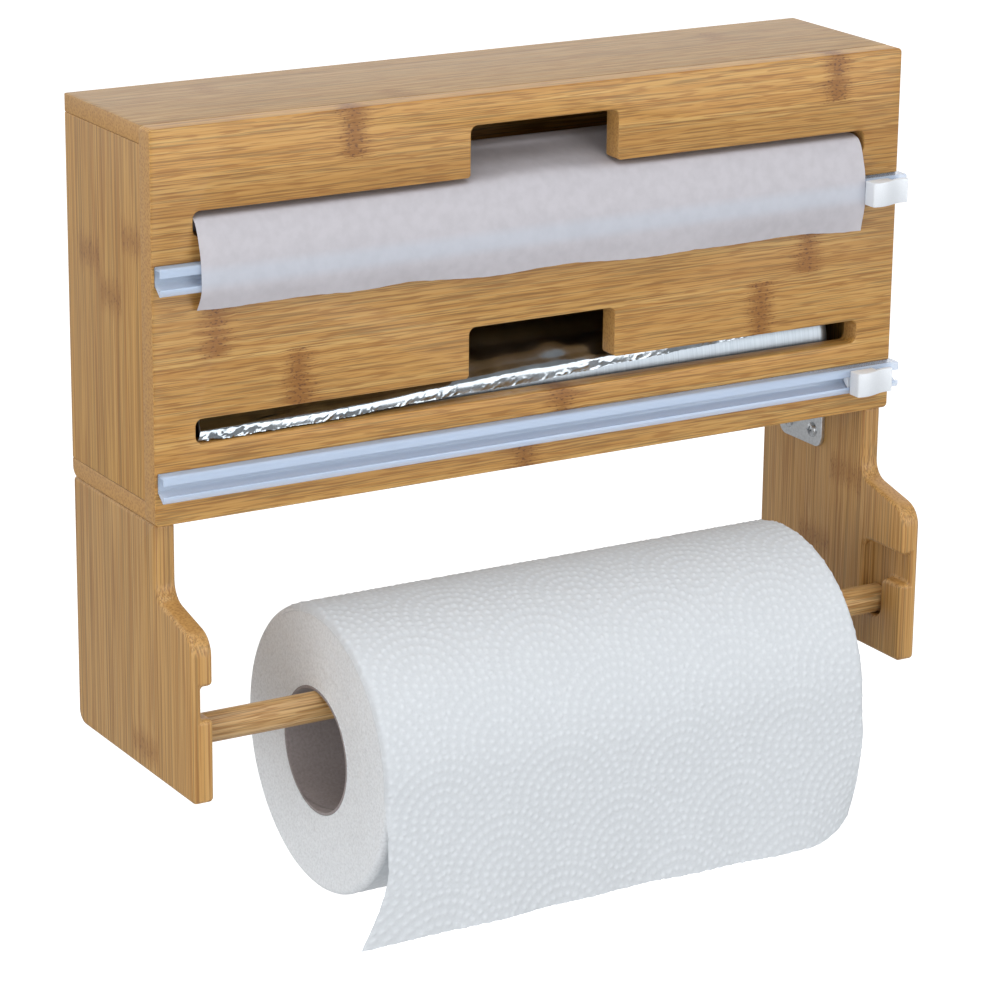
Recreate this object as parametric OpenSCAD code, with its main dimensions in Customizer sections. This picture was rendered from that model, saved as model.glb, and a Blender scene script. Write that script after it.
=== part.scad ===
// Wall dispenser of bamboo boards. Two boxed rolls are drawn out through slots and cut on slide cutters,
// and a towel roll hangs below on a rod that lifts out of its two arms.
// X runs to the right, Y towards the wall and Z up.
// The origin lies on the wall, midway between the two screw holes.

/* [Cabinet] */
// Width of the carcass over its side panels
box_w = 348; // [310:1:420]
// Depth of the carcass from the wall to the back of the front panel
box_d = 69; // [64:1:90]
// Height of the carcass
box_h = 157; // [142:1:190]
// Thickness of the top, bottom, side and shelf boards
board_t = 7.5; // [6.5:0.5:9]
// Thickness of the back panel
back_t = 4; // [3:0.5:6]
// Depth of the grooves in the side panels that hold the shelf
dado_d = 2.5; // [1.5:0.5:4]
// Radius of the carcass's lower back edge
back_edge_r = 4; // [1:0.5:6]

/* [Front panel] */
// Overhang of the front panel past each side panel
panel_over = 1; // [0:0.5:3]
// Thickness of the front panel
panel_t = 9.5; // [8.5:0.5:14]
// Radius of the front panel's corners
panel_r = 2; // [0.5:0.5:5]
// Gap between each edge of the baking paper and the end of its slot
slot_end_gap = 1.5; // [1:0.5:4]
// Height of a dispensing slot
slot_h = 10; // [9:0.5:14]
// Height of the lower slot's lower edge over the underside of the cabinet
slot_z = 31; // [28:0.5:34]
// Distance of the upper window from the top of the cabinet
window_top = 12.5; // [9:0.5:16]
// Corner radius of the slot ends
slot_r = 3; // [1:0.5:4]
// Width of the window over the middle of a slot
window_w = 69; // [40:1:120]
// Height of the window over its slot
window_h = 21; // [15:0.5:24]
// Corner radius of the window
window_r = 3; // [1:0.5:6]

/* [Cutter rails] */
// Height of a rail
rail_h = 11; // [10:0.5:14]
// Depth of a rail from its back to its lips
rail_d = 6.5; // [6:0.5:9]
// Wall thickness of a rail
rail_wall = 1.2; // [1:0.1:1.6]
// Width of the slit between the lips of a rail
rail_slit = 4.6; // [3.5:0.1:5]
// Height of the lower lip of a rail
rail_lip = 2.8; // [2.4:0.1:3.4]
// Height of the sloping lower back edge of a rail
rail_slope_h = 3; // [2:0.5:4]
// Depth of the flat underside of a rail in front of its slope
rail_toe = 1.5; // [1.3:0.1:2]
// Radius of the outer edges of a rail's lips
rail_edge_r = 1; // [0.4:0.1:1.2]
// Height of the lower rail's underside over the underside of the cabinet
rail_z = 10.3; // [7:0.1:12]
// Distance of the rail's left end from the left edge of the front panel
rail_left = 1.5; // [0.5:0.5:5]
// Length of rail that stands out past the right edge of the front panel
rail_out = 1.5; // [0:0.5:4]
// Depth of the groove in the front panel that takes a rail
groove_d = 2; // [1.5:0.5:4]
// Thickness of the adhesive tape behind a rail
tape_t = 0.5; // [0.2:0.1:1]

/* [Slide cutters] */
// Length of a slider's cap along the rail
cap_l = 19; // [18:0.5:24]
// Height of a slider's cap
cap_h = 10.4; // [9:0.1:12]
// Depth of a slider's cap in front of the film gap
cap_d = 7; // [6:0.5:9]
// Depth of the thumb hollow in a slider's cap
cap_hollow = 2.8; // [1:0.1:3.4]
// Distance of the cap's crest from its left end
crest_x = 4; // [3:0.5:6]
// Distance of the hollow's deepest point from the cap's left end
hollow_x = 16; // [13:0.5:18]
// Radius of the cap's left front edge
cap_edge_r = 1; // [0.5:0.1:1.2]
// Thickness of the thin wing of a slider's cap
wing_t = 2; // [1.6:0.1:2.4]
// Length of the thick part of a slider's cap
block_l = 11.5; // [10.5:0.5:13]
// Gap between the lips of a rail and a slider's cap, which the film passes through
film_gap = 1.4; // [1.2:0.1:2]
// Running clearance of a slider in its rail
slide_gap = 0.4; // [0.2:0.05:0.5]
// Length of a slider's foot inside the rail
foot_l = 13; // [10:0.5:15]
// Length of the neck that joins a slider's foot to its cap
neck_l = 6; // [4:0.5:7]
// Distance of the neck from the right end of the cap's thick part
neck_inset = 1; // [0.5:0.5:2]
// Thickness of a cutting blade
blade_t = 0.4; // [0.3:0.1:0.6]
// Length of blade that stands out at each side of the neck
blade_out = 2; // [1:0.5:2.5]
// Distance of the parked upper slider from the right edge of the front panel
upper_park = 2; // [0:0.5:4]
// Distance of the parked lower slider from the right edge of the front panel
lower_park = 6; // [0:0.5:20]

/* [Arms] */
// Thickness of an arm
arm_t = 9; // [8:0.5:14]
// Height of an arm under the cabinet
arm_h = 106.5; // [104:0.5:130]
// Depth of the arm's upper part from the wall
arm_top_d = 75.5; // [68:0.5:78]
// Depth of the arm's lower part from the wall
arm_d = 107; // [102:0.5:114]
// Height from the underside of the cabinet down to the shoulder of an arm
shoulder_h = 30.5; // [24:0.5:34]
// Fall of the shoulder towards the front
shoulder_fall = 7.5; // [2:0.5:9]
// Radius of the hollow above the shoulder
hollow_r = 8; // [3:0.5:10]
// Radius of the nose of the shoulder
nose_r = 10; // [4:0.5:12]
// Radius of the arm's lower back corner
heel_r = 6; // [1:0.5:12]
// Radius of the arm's other corners
corner_r = 2; // [0.5:0.5:3]

/* [Rod seats] */
// Depth of the recess in an arm's inner face
recess_d = 5; // [4.5:0.5:6]
// Height from the underside of the cabinet down to the top of a recess
recess_top = 58; // [56:0.5:60]
// Depth of the recess from the front of the arm to its back wall
recess_l = 28.5; // [26:0.5:32]
// Play of the rod in the mouth and in the seat of a recess
seat_play = 1.4; // [1:0.1:2]
// Depth of the seat below the lip of the mouth
seat_drop = 18.5; // [14:0.5:22]
// Radius of the milled corners of a recess
seat_r = 4; // [2:0.5:5]

/* [Towel] */
// Diameter of the towel rod
rod_d = 12.4; // [11:0.1:14]
// Gap between each end of the rod and the floor of its recess
rod_end_gap = 0.5; // [0.3:0.1:1]
// Diameter of the towel roll
towel_d = 119; // [100:1:122]
// Length of the towel roll
towel_l = 229; // [210:1:260]
// Distance of the towel roll's middle from the middle of the cabinet
towel_x = 5.5; // [-10:0.5:12]
// Bore of the towel roll's core
towel_bore = 51; // [38:0.5:55]
// Wall of the towel roll's core
towel_core_t = 1.2; // [0.8:0.1:2]
// Rounding of the towel roll's edges
towel_edge_r = 3; // [1:0.5:6]
// Height of the loose towel end below the middle of the roll
tail_drop = 61; // [30:1:80]
// Reach of the drawn-out corner of the towel end past the roll
tail_corner = 13; // [0:0.5:20]
// Width of the towel end that is drawn out at its left corner
corner_w = 36; // [20:1:60]
// Width of the towel end that curls at its right corner
curl_w = 28; // [15:1:50]
// Distance that the right corner of the towel end curls in
curl_in = 4.5; // [0:0.5:8]
// Height that the right corner of the towel end curls up
curl_up = 9; // [0:0.5:14]
// Depth of the waves along the towel end's lower edge
tail_wave = 1; // [0:0.1:2]
// Length of the waves along the towel end's lower edge
tail_wave_l = 165; // [80:5:230]
// Turn of the roll, in degrees, over which the towel end still lies on it
tail_wrap = 40; // [10:1:80]

/* [Rolls in the cabinet] */
// Diameter of the baking paper roll
baking_d = 40; // [38:0.5:44]
// Gap between each end of the baking paper roll and its side panel
baking_end_gap = 11; // [8:0.5:20]
// Diameter of the foil roll
foil_d = 44; // [42:0.5:48]
// Gap between each end of the foil roll's core and its side panel
foil_end_gap = 11.5; // [6.5:0.5:14]
// Length of core that stands out at each end of the foil
core_out = 5; // [3:0.5:10]
// Bore of the cardboard cores of both rolls
core_bore = 26; // [20:0.5:30]
// Wall of the cardboard cores of both rolls
core_t = 1.5; // [1:0.1:2.5]
// Gap between a roll and the back of the front panel
roll_front_gap = 2; // [1.5:0.1:3]
// Gap between a roll or rod and what it lies on
roll_gap = 0.3; // [0.2:0.1:0.5]
// Thickness that stands for paper and foil
sheet_t = 0.6; // [0.4:0.1:0.8]
// Fall of the baking paper below the upper slot's lower edge
baking_fall = 30; // [24:0.5:36]
// Height of the loose foil's edge over the lower slot's lower edge
foil_lift = 5; // [4.8:0.1:5.5]
// Distance of a sheet below the upper edge of its slot
slot_clear = 1.4; // [1.2:0.1:1.8]
// Rise of a sheet in the window over its slot
window_rise = 2.5; // [0:0.1:2.5]
// Difference in height between the two ends of a torn edge
hem_skew = 4; // [0:0.5:4]
// Height of the waves along a torn edge
hem_wave = 0.7; // [0:0.1:0.8]
// Length of the waves along a torn edge
hem_wave_l = 40; // [25:1:80]
// Distance that the hanging baking paper leans back to the front panel
hem_lean = 2.6; // [0:0.1:3]

/* [Brackets and screws] */
// Width of a corner bracket along the arm
bracket_w = 32; // [28:0.5:40]
// Length of each leg of a corner bracket
bracket_leg = 25.5; // [22:0.5:30]
// Thickness of a corner bracket
bracket_t = 2; // [1.5:0.1:3]
// Distance of a corner bracket from the wall
bracket_y = 15.5; // [8:0.5:24]
// Corner radius of a bracket's legs
bracket_r = 5; // [2:0.5:8]
// Distance of the two screws in one leg
screw_pitch = 18; // [14:0.5:20]
// Distance of the screws from the bend of the bracket
screw_row = 18.5; // [14:0.5:19]
// Shank diameter of a bracket screw
screw_d = 3.5; // [3:0.1:4]
// Length of a bracket screw under its head
screw_l = 8; // [6:0.5:8]
// Head diameter of a bracket screw
screw_head_d = 6.8; // [6:0.1:8]
// Height of a bracket screw's head
screw_head_h = 1.6; // [1.2:0.1:2]

/* [Panel catches] */
// Diameter of a magnet in the front edge of a side panel
magnet_d = 5; // [3:0.5:5.5]
// Length of a magnet
magnet_l = 4; // [3:0.5:8]
// Distance of the magnets from the top and bottom of the cabinet
magnet_inset = 26; // [20:1:60]
// Diameter of a steel disc in the back of the front panel
disc_d = 6; // [4:0.5:6.5]
// Thickness of a steel disc
disc_t = 1.2; // [0.8:0.1:2]
// Diameter of a locating peg
peg_d = 4; // [3:0.5:4.5]
// Length of a locating peg in its board
peg_in = 10; // [6:0.5:20]
// Length of a locating peg in the front panel
peg_out = 5; // [3:0.5:7]
// Distance of the locating pegs from the sides of the carcass
peg_inset = 34; // [20:1:80]
// Clearance round a locating peg in the front panel
peg_gap = 0.3; // [0.2:0.05:0.6]
// Diameter of a dowel between a side panel and the top or bottom panel
dowel_d = 4; // [3:0.5:5]
// Length of a dowel in each of its two boards
dowel_in = 5; // [3:0.5:5.5]
// Distance of the dowels from the front and the back of the side panel
dowel_inset = 16; // [12:1:28]

/* [Wall mount] */
// Diameter of the screw holes in the back panel
hole_d = 5; // [4:0.5:6]
// Distance between the two screw holes
hole_pitch = 240; // [160:5:280]
// Distance of the screw holes below the top of the cabinet
hole_drop = 19; // [13:1:60]

/* [Hidden] */
$fn = 64;
// Straight pieces in a rounded corner of an outline, and in the wave of a cap's front
arc_steps = 6;
cap_steps = 14;
// Overlap that carries a cut through the face that it starts from
cut = 1;
// Spans of the loose sheets, along the roll and along their path
baking_steps = [36, 15];
foil_steps = [44, 12];
towel_steps = [36, 15];

// Heights and depths of the cabinet
z0 = hole_drop - box_h;
station_pitch = box_h - slot_z - slot_h - window_h - window_top;
half_w = box_w / 2;
inner_w = half_w - board_t;
panel_back = -box_d;
panel_front = -(box_d + panel_t);
panel_half = half_w + panel_over;
shelf_top = z0 + board_t + station_pitch;

// Rail and slider, measured from the back of the rail
rail_sunk = groove_d - tape_t;
rail_back = panel_front + rail_sunk;
rail_front = rail_back - rail_d;
rail_x0 = -panel_half + rail_left;
rail_l = 2 * panel_half - rail_left + rail_out;
cap_back = rail_front - film_gap;
neck_x = block_l - neck_l - neck_inset;
foot_x = neck_x + (neck_l - foot_l) / 2;
upper_cap_x = panel_half - upper_park - cap_l;
lower_cap_x = panel_half - lower_park - cap_l;

// Arm, rod and towel roll
arm_inner = half_w - arm_t;
recess_floor = arm_inner + recess_d;
mouth_h = rod_d + seat_play;
seat_w = rod_d + seat_play;
seat_back = -arm_d + recess_l;
seat_floor = z0 - recess_top - mouth_h - seat_drop;
rod_y = seat_back - seat_w / 2;
rod_z = seat_floor + roll_gap + rod_d / 2;
rod_half = recess_floor - rod_end_gap;
towel_r = towel_d / 2;
towel_y = rod_y;
towel_z = rod_z + rod_d / 2 + roll_gap - towel_bore / 2;

// Rolls in the cabinet
baking_l = 2 * (inner_w - baking_end_gap);
foil_core_l = 2 * (inner_w - foil_end_gap);
foil_l = foil_core_l - 2 * core_out;
slot_l = baking_l + 2 * slot_end_gap;
baking_r = baking_d / 2;
baking_y = panel_back + roll_front_gap + baking_r;
baking_z = shelf_top + roll_gap + baking_r;
foil_r = foil_d / 2;
foil_y = panel_back + roll_front_gap + foil_r;
foil_z = z0 + board_t + roll_gap + foil_r;
lower_slot_z = z0 + slot_z;
upper_slot_z = lower_slot_z + station_pitch;

// Colours of the materials
bamboo = "#C99A5B";
bamboo_end = "#B98B50";
clear_plastic = "#B9CFE6";
white_plastic = "#F1F2F4";
steel = "#B8BCC0";
zinc = "#C9CDD1";
towel_paper = "#F2F3F5";
baking_paper = "#DAD9DF";
foil = "#C4CAD2";
cardboard = "#A9998A";
tape = "#E6E6E6";

function unit(v) = v / norm(v);

// Points of corner b, between its neighbours a and c, rounded to radius r
function corner_arc(a, b, c, r) =
    let (u = unit(a - b), v = unit(c - b), half = acos(u * v) / 2)
    let (centre = b + unit(u + v) * r / sin(half))
    let (from = b + u * r / tan(half) - centre, to = b + v * r / tan(half) - centre)
    let (turn = atan2(from.x * to.y - from.y * to.x, from * to), first = atan2(from.y, from.x))
    [for (i = [0:arc_steps]) let (a = first + turn * i / arc_steps) centre + r * [cos(a), sin(a)]];

// Outline through corners [x, y, r], each rounded to its own radius r, or sharp where r is 0
function outline(c) = [
    for (i = [0:len(c) - 1])
        let (a = c[(i + len(c) - 1) % len(c)], b = c[i], d = c[(i + 1) % len(c)])
        each (b.z > 0 ? corner_arc([a.x, a.y], [b.x, b.y], [d.x, d.y], b.z) : [[b.x, b.y]])
];

// Point at share t of a smooth curve through the points p
function spline(p, t) =
    let (n = len(p) - 1, i = min(floor(t * n), n - 1), s = t * n - i)
    let (a = p[max(i - 1, 0)], b = p[i], c = p[i + 1], d = p[min(i + 2, n)])
    b + 0.5 * s * (c - a + s * (2 * a - 5 * b + 4 * c - d + s * (3 * b - a - 3 * c + d)));

// Extrudes an outline of Y and Z along X, from x to x + l
module along_x(x, l) translate([x, 0, 0]) rotate([90, 0, 90]) linear_extrude(l) children();

// Extrudes an outline of X and Z towards the front, from y to y - t
module to_front(y, t) translate([0, y, 0]) rotate([90, 0, 0]) linear_extrude(t) children();

// Round bar along X that starts at p
module bar_x(p, l, d) translate(p) rotate([0, 90, 0]) cylinder(h = l, d = d);

// Round bar towards the front that starts at p
module bar_y(p, l, d) translate(p) rotate([90, 0, 0]) cylinder(h = l, d = d);

// Tube along X about the axis y, z, with its ends rounded outside to radius r
module tube_x(x, y, z, l, outer_d, bore_d, r = 0)
    translate([x, y, z]) rotate([0, 90, 0]) rotate_extrude()
        polygon(outline([
            [bore_d / 2, 0, 0], [outer_d / 2, 0, r], [outer_d / 2, l, r], [bore_d / 2, l, 0]
        ]));

// Thin sheet with its middle surface at f(u, v), where u and v run from 0 to 1
module sheet(f, nu, nv) {
    small = 0.002;
    normal = function(u, v) unit(cross(
        f(min(u + small, 1), v) - f(max(u - small, 0), v),
        f(u, min(v + small, 1)) - f(u, max(v - small, 0))));
    row = nv + 1;
    side = (nu + 1) * row;
    points = [
        for (s = [1, -1], i = [0:nu], j = [0:nv])
            let (u = i / nu, v = j / nv) f(u, v) + normal(u, v) * s * sheet_t / 2
    ];
    at = function(s, i, j) s * side + i * row + j;
    faces = [
        for (i = [0:nu - 1], j = [0:nv - 1]) each [
            [at(0, i, j), at(0, i, j + 1), at(0, i + 1, j + 1)],
            [at(0, i, j), at(0, i + 1, j + 1), at(0, i + 1, j)],
            [at(1, i, j), at(1, i + 1, j + 1), at(1, i, j + 1)],
            [at(1, i, j), at(1, i + 1, j), at(1, i + 1, j + 1)]
        ],
        for (i = [0:nu - 1]) each [
            [at(0, i, 0), at(0, i + 1, 0), at(1, i + 1, 0)],
            [at(0, i, 0), at(1, i + 1, 0), at(1, i, 0)],
            [at(0, i, nv), at(1, i + 1, nv), at(0, i + 1, nv)],
            [at(0, i, nv), at(1, i, nv), at(1, i + 1, nv)]
        ],
        for (j = [0:nv - 1]) each [
            [at(0, 0, j), at(1, 0, j + 1), at(0, 0, j + 1)],
            [at(0, 0, j), at(1, 0, j), at(1, 0, j + 1)],
            [at(0, nu, j), at(0, nu, j + 1), at(1, nu, j + 1)],
            [at(0, nu, j), at(1, nu, j + 1), at(1, nu, j)]
        ]
    ];
    polyhedron(points, faces, convexity = 6);
}

// Places of the dowels: one at each end of the top and bottom joints of both side panels
module dowel_bars(d)
    for (sx = [-1, 1], y = [-dowel_inset, -box_d + dowel_inset], z = [z0 + board_t, z0 + box_h - board_t])
        translate([sx * (half_w - board_t / 2), y, z - dowel_in]) cylinder(h = 2 * dowel_in, d = d);

// Places of the locating pegs in the front edges of the top and bottom panels
module peg_bars(y, l, d)
    for (sx = [-1, 1], z = [z0 + board_t / 2, z0 + box_h - board_t / 2])
        bar_y([sx * (half_w - peg_inset), y, z], l, d);

// Places of the magnets and of the discs that they hold
module catch_bars(y, l, d)
    for (sx = [-1, 1], z = [z0 + magnet_inset, z0 + box_h - magnet_inset])
        bar_y([sx * (half_w - board_t / 2), y, z], l, d);

module top_panel() color(bamboo) difference() {
    translate([-half_w, -box_d, z0 + box_h - board_t]) cube([box_w, box_d, board_t]);
    dowel_bars(dowel_d);
    peg_bars(panel_back + peg_in, peg_in + cut, peg_d);
}

module bottom_panel() color(bamboo) difference() {
    along_x(-half_w, box_w) polygon(outline([
        [-box_d, z0, 0], [0, z0, back_edge_r], [0, z0 + board_t, 0], [-box_d, z0 + board_t, 0]
    ]));
    dowel_bars(dowel_d);
    peg_bars(panel_back + peg_in, peg_in + cut, peg_d);
    leg_screws(screw_d);
}

// Right side panel, with its shelf groove, dowel holes and magnet holes
module side_panel() difference() {
    translate([inner_w, -box_d, z0 + board_t]) cube([board_t, box_d, box_h - 2 * board_t]);
    translate([inner_w - cut, -box_d - cut, shelf_top - board_t])
        cube([dado_d + cut, box_d - back_t + cut, board_t]);
    dowel_bars(dowel_d);
    catch_bars(panel_back + magnet_l, magnet_l + cut, magnet_d);
}

module left_side_panel() color(bamboo) mirror([1, 0, 0]) side_panel();

module right_side_panel() color(bamboo) side_panel();

// Back panel between the boards, flush with the wall, with the two screw holes
module back_panel() color(bamboo) difference() {
    translate([-inner_w, -back_t, z0 + board_t]) cube([2 * inner_w, back_t, box_h - 2 * board_t]);
    for (sx = [-1, 1]) bar_y([sx * hole_pitch / 2, cut, 0], back_t + 2 * cut, hole_d);
}

// Shelf under the upper roll, let into the side panels and against the back panel
module divider_shelf() color(bamboo)
    translate([-inner_w - dado_d, -box_d, shelf_top - board_t])
        cube([2 * (inner_w + dado_d), box_d - back_t, board_t]);

module carcass_dowels() color(bamboo_end) dowel_bars(dowel_d);

module panel_magnets() color(steel) catch_bars(panel_back + magnet_l, magnet_l, magnet_d);

module locating_pegs() color(bamboo_end) peg_bars(panel_back + peg_in, peg_in + peg_out, peg_d);

// Side view of an arm: straight under the cabinet, then stepping forward over a rounded shoulder
function arm_outline() = outline([
    [0, z0, corner_r], [-arm_top_d, z0, corner_r], [-arm_top_d, z0 - shoulder_h, hollow_r],
    [-arm_d, z0 - shoulder_h - shoulder_fall, nose_r], [-arm_d, z0 - arm_h, corner_r],
    [0, z0 - arm_h, heel_r]
]);

// Side view of the recess: a mouth in the front edge, then down behind the lip to the rod's seat
function recess_outline() =
    let (top = z0 - recess_top, lip = z0 - recess_top - mouth_h)
    outline([
        [-arm_d - cut, top, 0], [seat_back, top, seat_r], [seat_back, seat_floor, seat_r],
        [seat_back - seat_w, seat_floor, seat_r], [seat_back - seat_w, lip, seat_r], [-arm_d - cut, lip, 0]
    ]);

// Right arm, with its recess and the screw holes of its bracket
module arm() difference() {
    along_x(arm_inner, arm_t) polygon(arm_outline());
    along_x(arm_inner - cut, recess_d + cut) polygon(recess_outline());
    arm_screws(screw_d);
}

module left_arm() color(bamboo) mirror([1, 0, 0]) arm();

module right_arm() color(bamboo) arm();

// Distances of a bracket's two screws from the wall
function screw_ys() = [for (s = [-1, 1]) -bracket_y - bracket_w / 2 + s * screw_pitch / 2];

// Screw shanks in the leg on the right arm, from the bracket's face into the arm
module arm_screws(d)
    for (y = screw_ys())
        bar_x([arm_inner - bracket_t, y, z0 - screw_row], screw_l, d);

// Screw shanks in the leg under the cabinet, on both sides
module leg_screws(d)
    for (sx = [-1, 1], y = screw_ys())
        translate([sx * (arm_inner - screw_row), y, z0 - bracket_t]) cylinder(h = screw_l, d = d);

// Right corner bracket: one leg on the arm and one under the cabinet
module corner_bracket() difference() {
    union() {
        along_x(arm_inner - bracket_t, bracket_t) polygon(outline([
            [-bracket_y, z0, 0], [-bracket_y - bracket_w, z0, 0],
            [-bracket_y - bracket_w, z0 - bracket_leg, bracket_r], [-bracket_y, z0 - bracket_leg, bracket_r]
        ]));
        translate([0, 0, z0 - bracket_t]) linear_extrude(bracket_t) polygon(outline([
            [arm_inner, -bracket_y, 0], [arm_inner - bracket_leg, -bracket_y, bracket_r],
            [arm_inner - bracket_leg, -bracket_y - bracket_w, bracket_r],
            [arm_inner, -bracket_y - bracket_w, 0]
        ]));
    }
    arm_screws(screw_d);
    leg_screws(screw_d);
}

module left_corner_bracket() color(zinc) mirror([1, 0, 0]) corner_bracket();

module right_corner_bracket() color(zinc) corner_bracket();

// Screw with a domed head at the origin and its shank along +Z
module screw() rotate_extrude() polygon([
    [0, screw_l], [screw_d / 2, screw_l], [screw_d / 2, 0], [screw_head_d / 2, 0],
    for (a = [15:15:90]) [screw_head_d / 2 * cos(a), -screw_head_h * sin(a)]
]);

module bracket_screws() color(steel)
    for (sx = [0, 1], y = screw_ys()) mirror([sx, 0, 0]) {
        translate([arm_inner - bracket_t, y, z0 - screw_row]) rotate([0, 90, 0]) screw();
        translate([arm_inner - screw_row, y, z0 - bracket_t]) screw();
    }

// Slot of one station with the window over its middle, from the slot's lower edge up
function station_outline(z) = outline([
    [-slot_l / 2, z, slot_r], [slot_l / 2, z, slot_r], [slot_l / 2, z + slot_h, slot_r],
    [window_w / 2, z + slot_h, slot_r / 2], [window_w / 2, z + slot_h + window_h, window_r],
    [-window_w / 2, z + slot_h + window_h, window_r], [-window_w / 2, z + slot_h, slot_r / 2],
    [-slot_l / 2, z + slot_h, slot_r]
]);

// Face board with two stations, a rail groove under each that is open at the right,
// disc pockets and peg holes
module front_panel() color(bamboo) difference() {
    to_front(panel_back, panel_t) difference() {
        polygon(outline([
            [-panel_half, z0, panel_r], [panel_half, z0, panel_r],
            [panel_half, z0 + box_h, panel_r], [-panel_half, z0 + box_h, panel_r]
        ]));
        for (z = [lower_slot_z, upper_slot_z]) polygon(station_outline(z));
    }
    for (s = [0, 1])
        translate([rail_x0, panel_front - cut, z0 + rail_z + rail_slope_h + s * station_pitch])
            cube([rail_l + cut, groove_d + cut, rail_h - rail_slope_h]);
    catch_bars(panel_back + cut, disc_t + cut, disc_d);
    peg_bars(panel_back + cut, peg_out + peg_gap + cut, peg_d + 2 * peg_gap);
}

module strike_discs() color(steel) catch_bars(panel_back, disc_t, disc_d);

// End view of a rail: a channel with two lips in front and a sloping lower back edge
function rail_outline(z) =
    let (lip_low = z + rail_lip, lip_high = z + rail_lip + rail_slit, inside = rail_front + rail_wall)
    outline([
        [rail_back, z + rail_slope_h, 0], [rail_back, z + rail_h, 0], [rail_front, z + rail_h, rail_edge_r],
        [rail_front, lip_high, 0], [inside, lip_high, 0], [inside, z + rail_h - rail_wall, 0],
        [rail_back - rail_wall, z + rail_h - rail_wall, 0],
        [rail_back - rail_wall, z + rail_slope_h + rail_wall, 0],
        [inside, z + rail_wall, 0], [inside, lip_low, 0], [rail_front, lip_low, 0],
        [rail_front, z, rail_edge_r], [rail_front + rail_toe, z, 0], [panel_front, z + rail_slope_h, 0]
    ]);

module upper_rail() color(clear_plastic, 0.6)
    along_x(rail_x0, rail_l) polygon(rail_outline(z0 + rail_z + station_pitch));

module lower_rail() color(clear_plastic, 0.6)
    along_x(rail_x0, rail_l) polygon(rail_outline(z0 + rail_z));

// Strips of tape between the rails and the floors of their grooves
module rail_tapes() color(tape)
    for (s = [0, 1])
        translate([rail_x0, rail_back, z0 + rail_z + rail_slope_h + s * station_pitch])
            cube([2 * panel_half - rail_left, tape_t, rail_h - rail_slope_h]);

// Place of a cap's front at distance x from its left end: full at the crest, hollowed for the thumb
function cap_front(x) =
    let (turn = 180 * (x - crest_x) / (hollow_x - crest_x))
    cap_back - cap_d + cap_hollow * (1 - cos(turn)) / 2;

// Plan of a slider's cap, from its left end at x: a thick block with a thin wing to the right
function cap_outline(x) =
    let (front = [for (i = [1:cap_steps]) cap_l * i / cap_steps])
    let (wing = [for (i = [cap_steps:-1:0]) block_l + (cap_l - block_l) * i / cap_steps])
    concat(
        outline([
            [x + block_l, cap_back, 0], [x, cap_back, 0], [x, cap_front(0), cap_edge_r],
            [x + front[0], cap_front(front[0]), 0]
        ]),
        [for (d = front) [x + d, cap_front(d)]],
        [for (d = wing) [x + d, min(cap_front(d) + wing_t, cap_back)]]
    );

// Slider of one rail: a foot in the channel, a neck through the slit, and the cap in front
module slider(x, z) difference() {
    union() {
        along_x(x + foot_x, foot_l) polygon([
            [rail_back - rail_wall - slide_gap, z + rail_slope_h + rail_wall + 1.5 * slide_gap],
            [rail_back - rail_wall - slide_gap, z + rail_h - rail_wall - slide_gap],
            [rail_front + rail_wall + slide_gap, z + rail_h - rail_wall - slide_gap],
            [rail_front + rail_wall + slide_gap, z + rail_wall + 1.5 * slide_gap]
        ]);
        translate([x + neck_x, cap_back - wing_t / 2, z + rail_lip + slide_gap])
            cube([neck_l, rail_d + film_gap - rail_wall - 2 * slide_gap, rail_slit - 2 * slide_gap]);
        translate([0, 0, z + (rail_h - cap_h) / 2]) linear_extrude(cap_h) polygon(cap_outline(x));
    }
    blade_plate(x, z);
}

// Blade of one slider: a thin plate across the neck with slanted cutting ends that stand in the film gap
module blade_plate(x, z) {
    y0 = cap_back - wing_t / 2;
    y1 = rail_front + rail_wall;
    translate([0, 0, z + rail_lip + (rail_slit - blade_t) / 2]) linear_extrude(blade_t) polygon([
        [x + neck_x, y0], [x + neck_x + neck_l, y0],
        [x + neck_x + neck_l + blade_out, cap_back], [x + neck_x + neck_l, y1],
        [x + neck_x, y1], [x + neck_x - blade_out, cap_back]
    ]);
}

module upper_slider() color(white_plastic) slider(upper_cap_x, z0 + rail_z + station_pitch);

module upper_blade() color(steel) blade_plate(upper_cap_x, z0 + rail_z + station_pitch);

module lower_slider() color(white_plastic) slider(lower_cap_x, z0 + rail_z);

module lower_blade() color(steel) blade_plate(lower_cap_x, z0 + rail_z);

// Point of a sheet that lies over a roll of radius r about y, z, at a turn of a degrees from the back
function off_roll(y, z, r, a) = [y, z] + (r + roll_gap + sheet_t) * [cos(a), sin(a)];

// Height of the waves of a torn edge at distance x from the middle
function hem_at(x) = hem_wave * sin(360 * x / hem_wave_l);

// Swell of a sheet in its window at distance x from the middle, dying away at the window's sides
function window_swell(x) = window_rise * exp(-pow(2.2 * x / window_w, 2));

// Side view of the baking paper: off the roll, through the slot, over the rail and down the front
function baking_path(x) =
    let (over_rail = rail_front - sheet_t, top = upper_slot_z + slot_h)
    let (rail_top = z0 + rail_z + station_pitch + rail_h)
    let (hem = upper_slot_z - baking_fall - hem_skew * x / baking_l + hem_at(x))
    [
        for (a = [96, 108, 120]) off_roll(baking_y, baking_z, baking_r, a),
        [panel_back, top - slot_clear + window_swell(x)],
        [panel_front, top - 0.4 * slot_h + window_swell(x) / 2],
        [over_rail, (top + 2 * rail_top) / 3],
        [over_rail, rail_top],
        [over_rail, rail_top - rail_h],
        [over_rail + hem_lean - hem_at(x / 2), hem]
    ];

module baking_sheet() color(baking_paper) sheet(
    function(u, v)
        let (x = (u - 0.5) * baking_l, p = spline(baking_path(x), v))
        [x, p.x, p.y],
    baking_steps.x, baking_steps.y);

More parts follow.
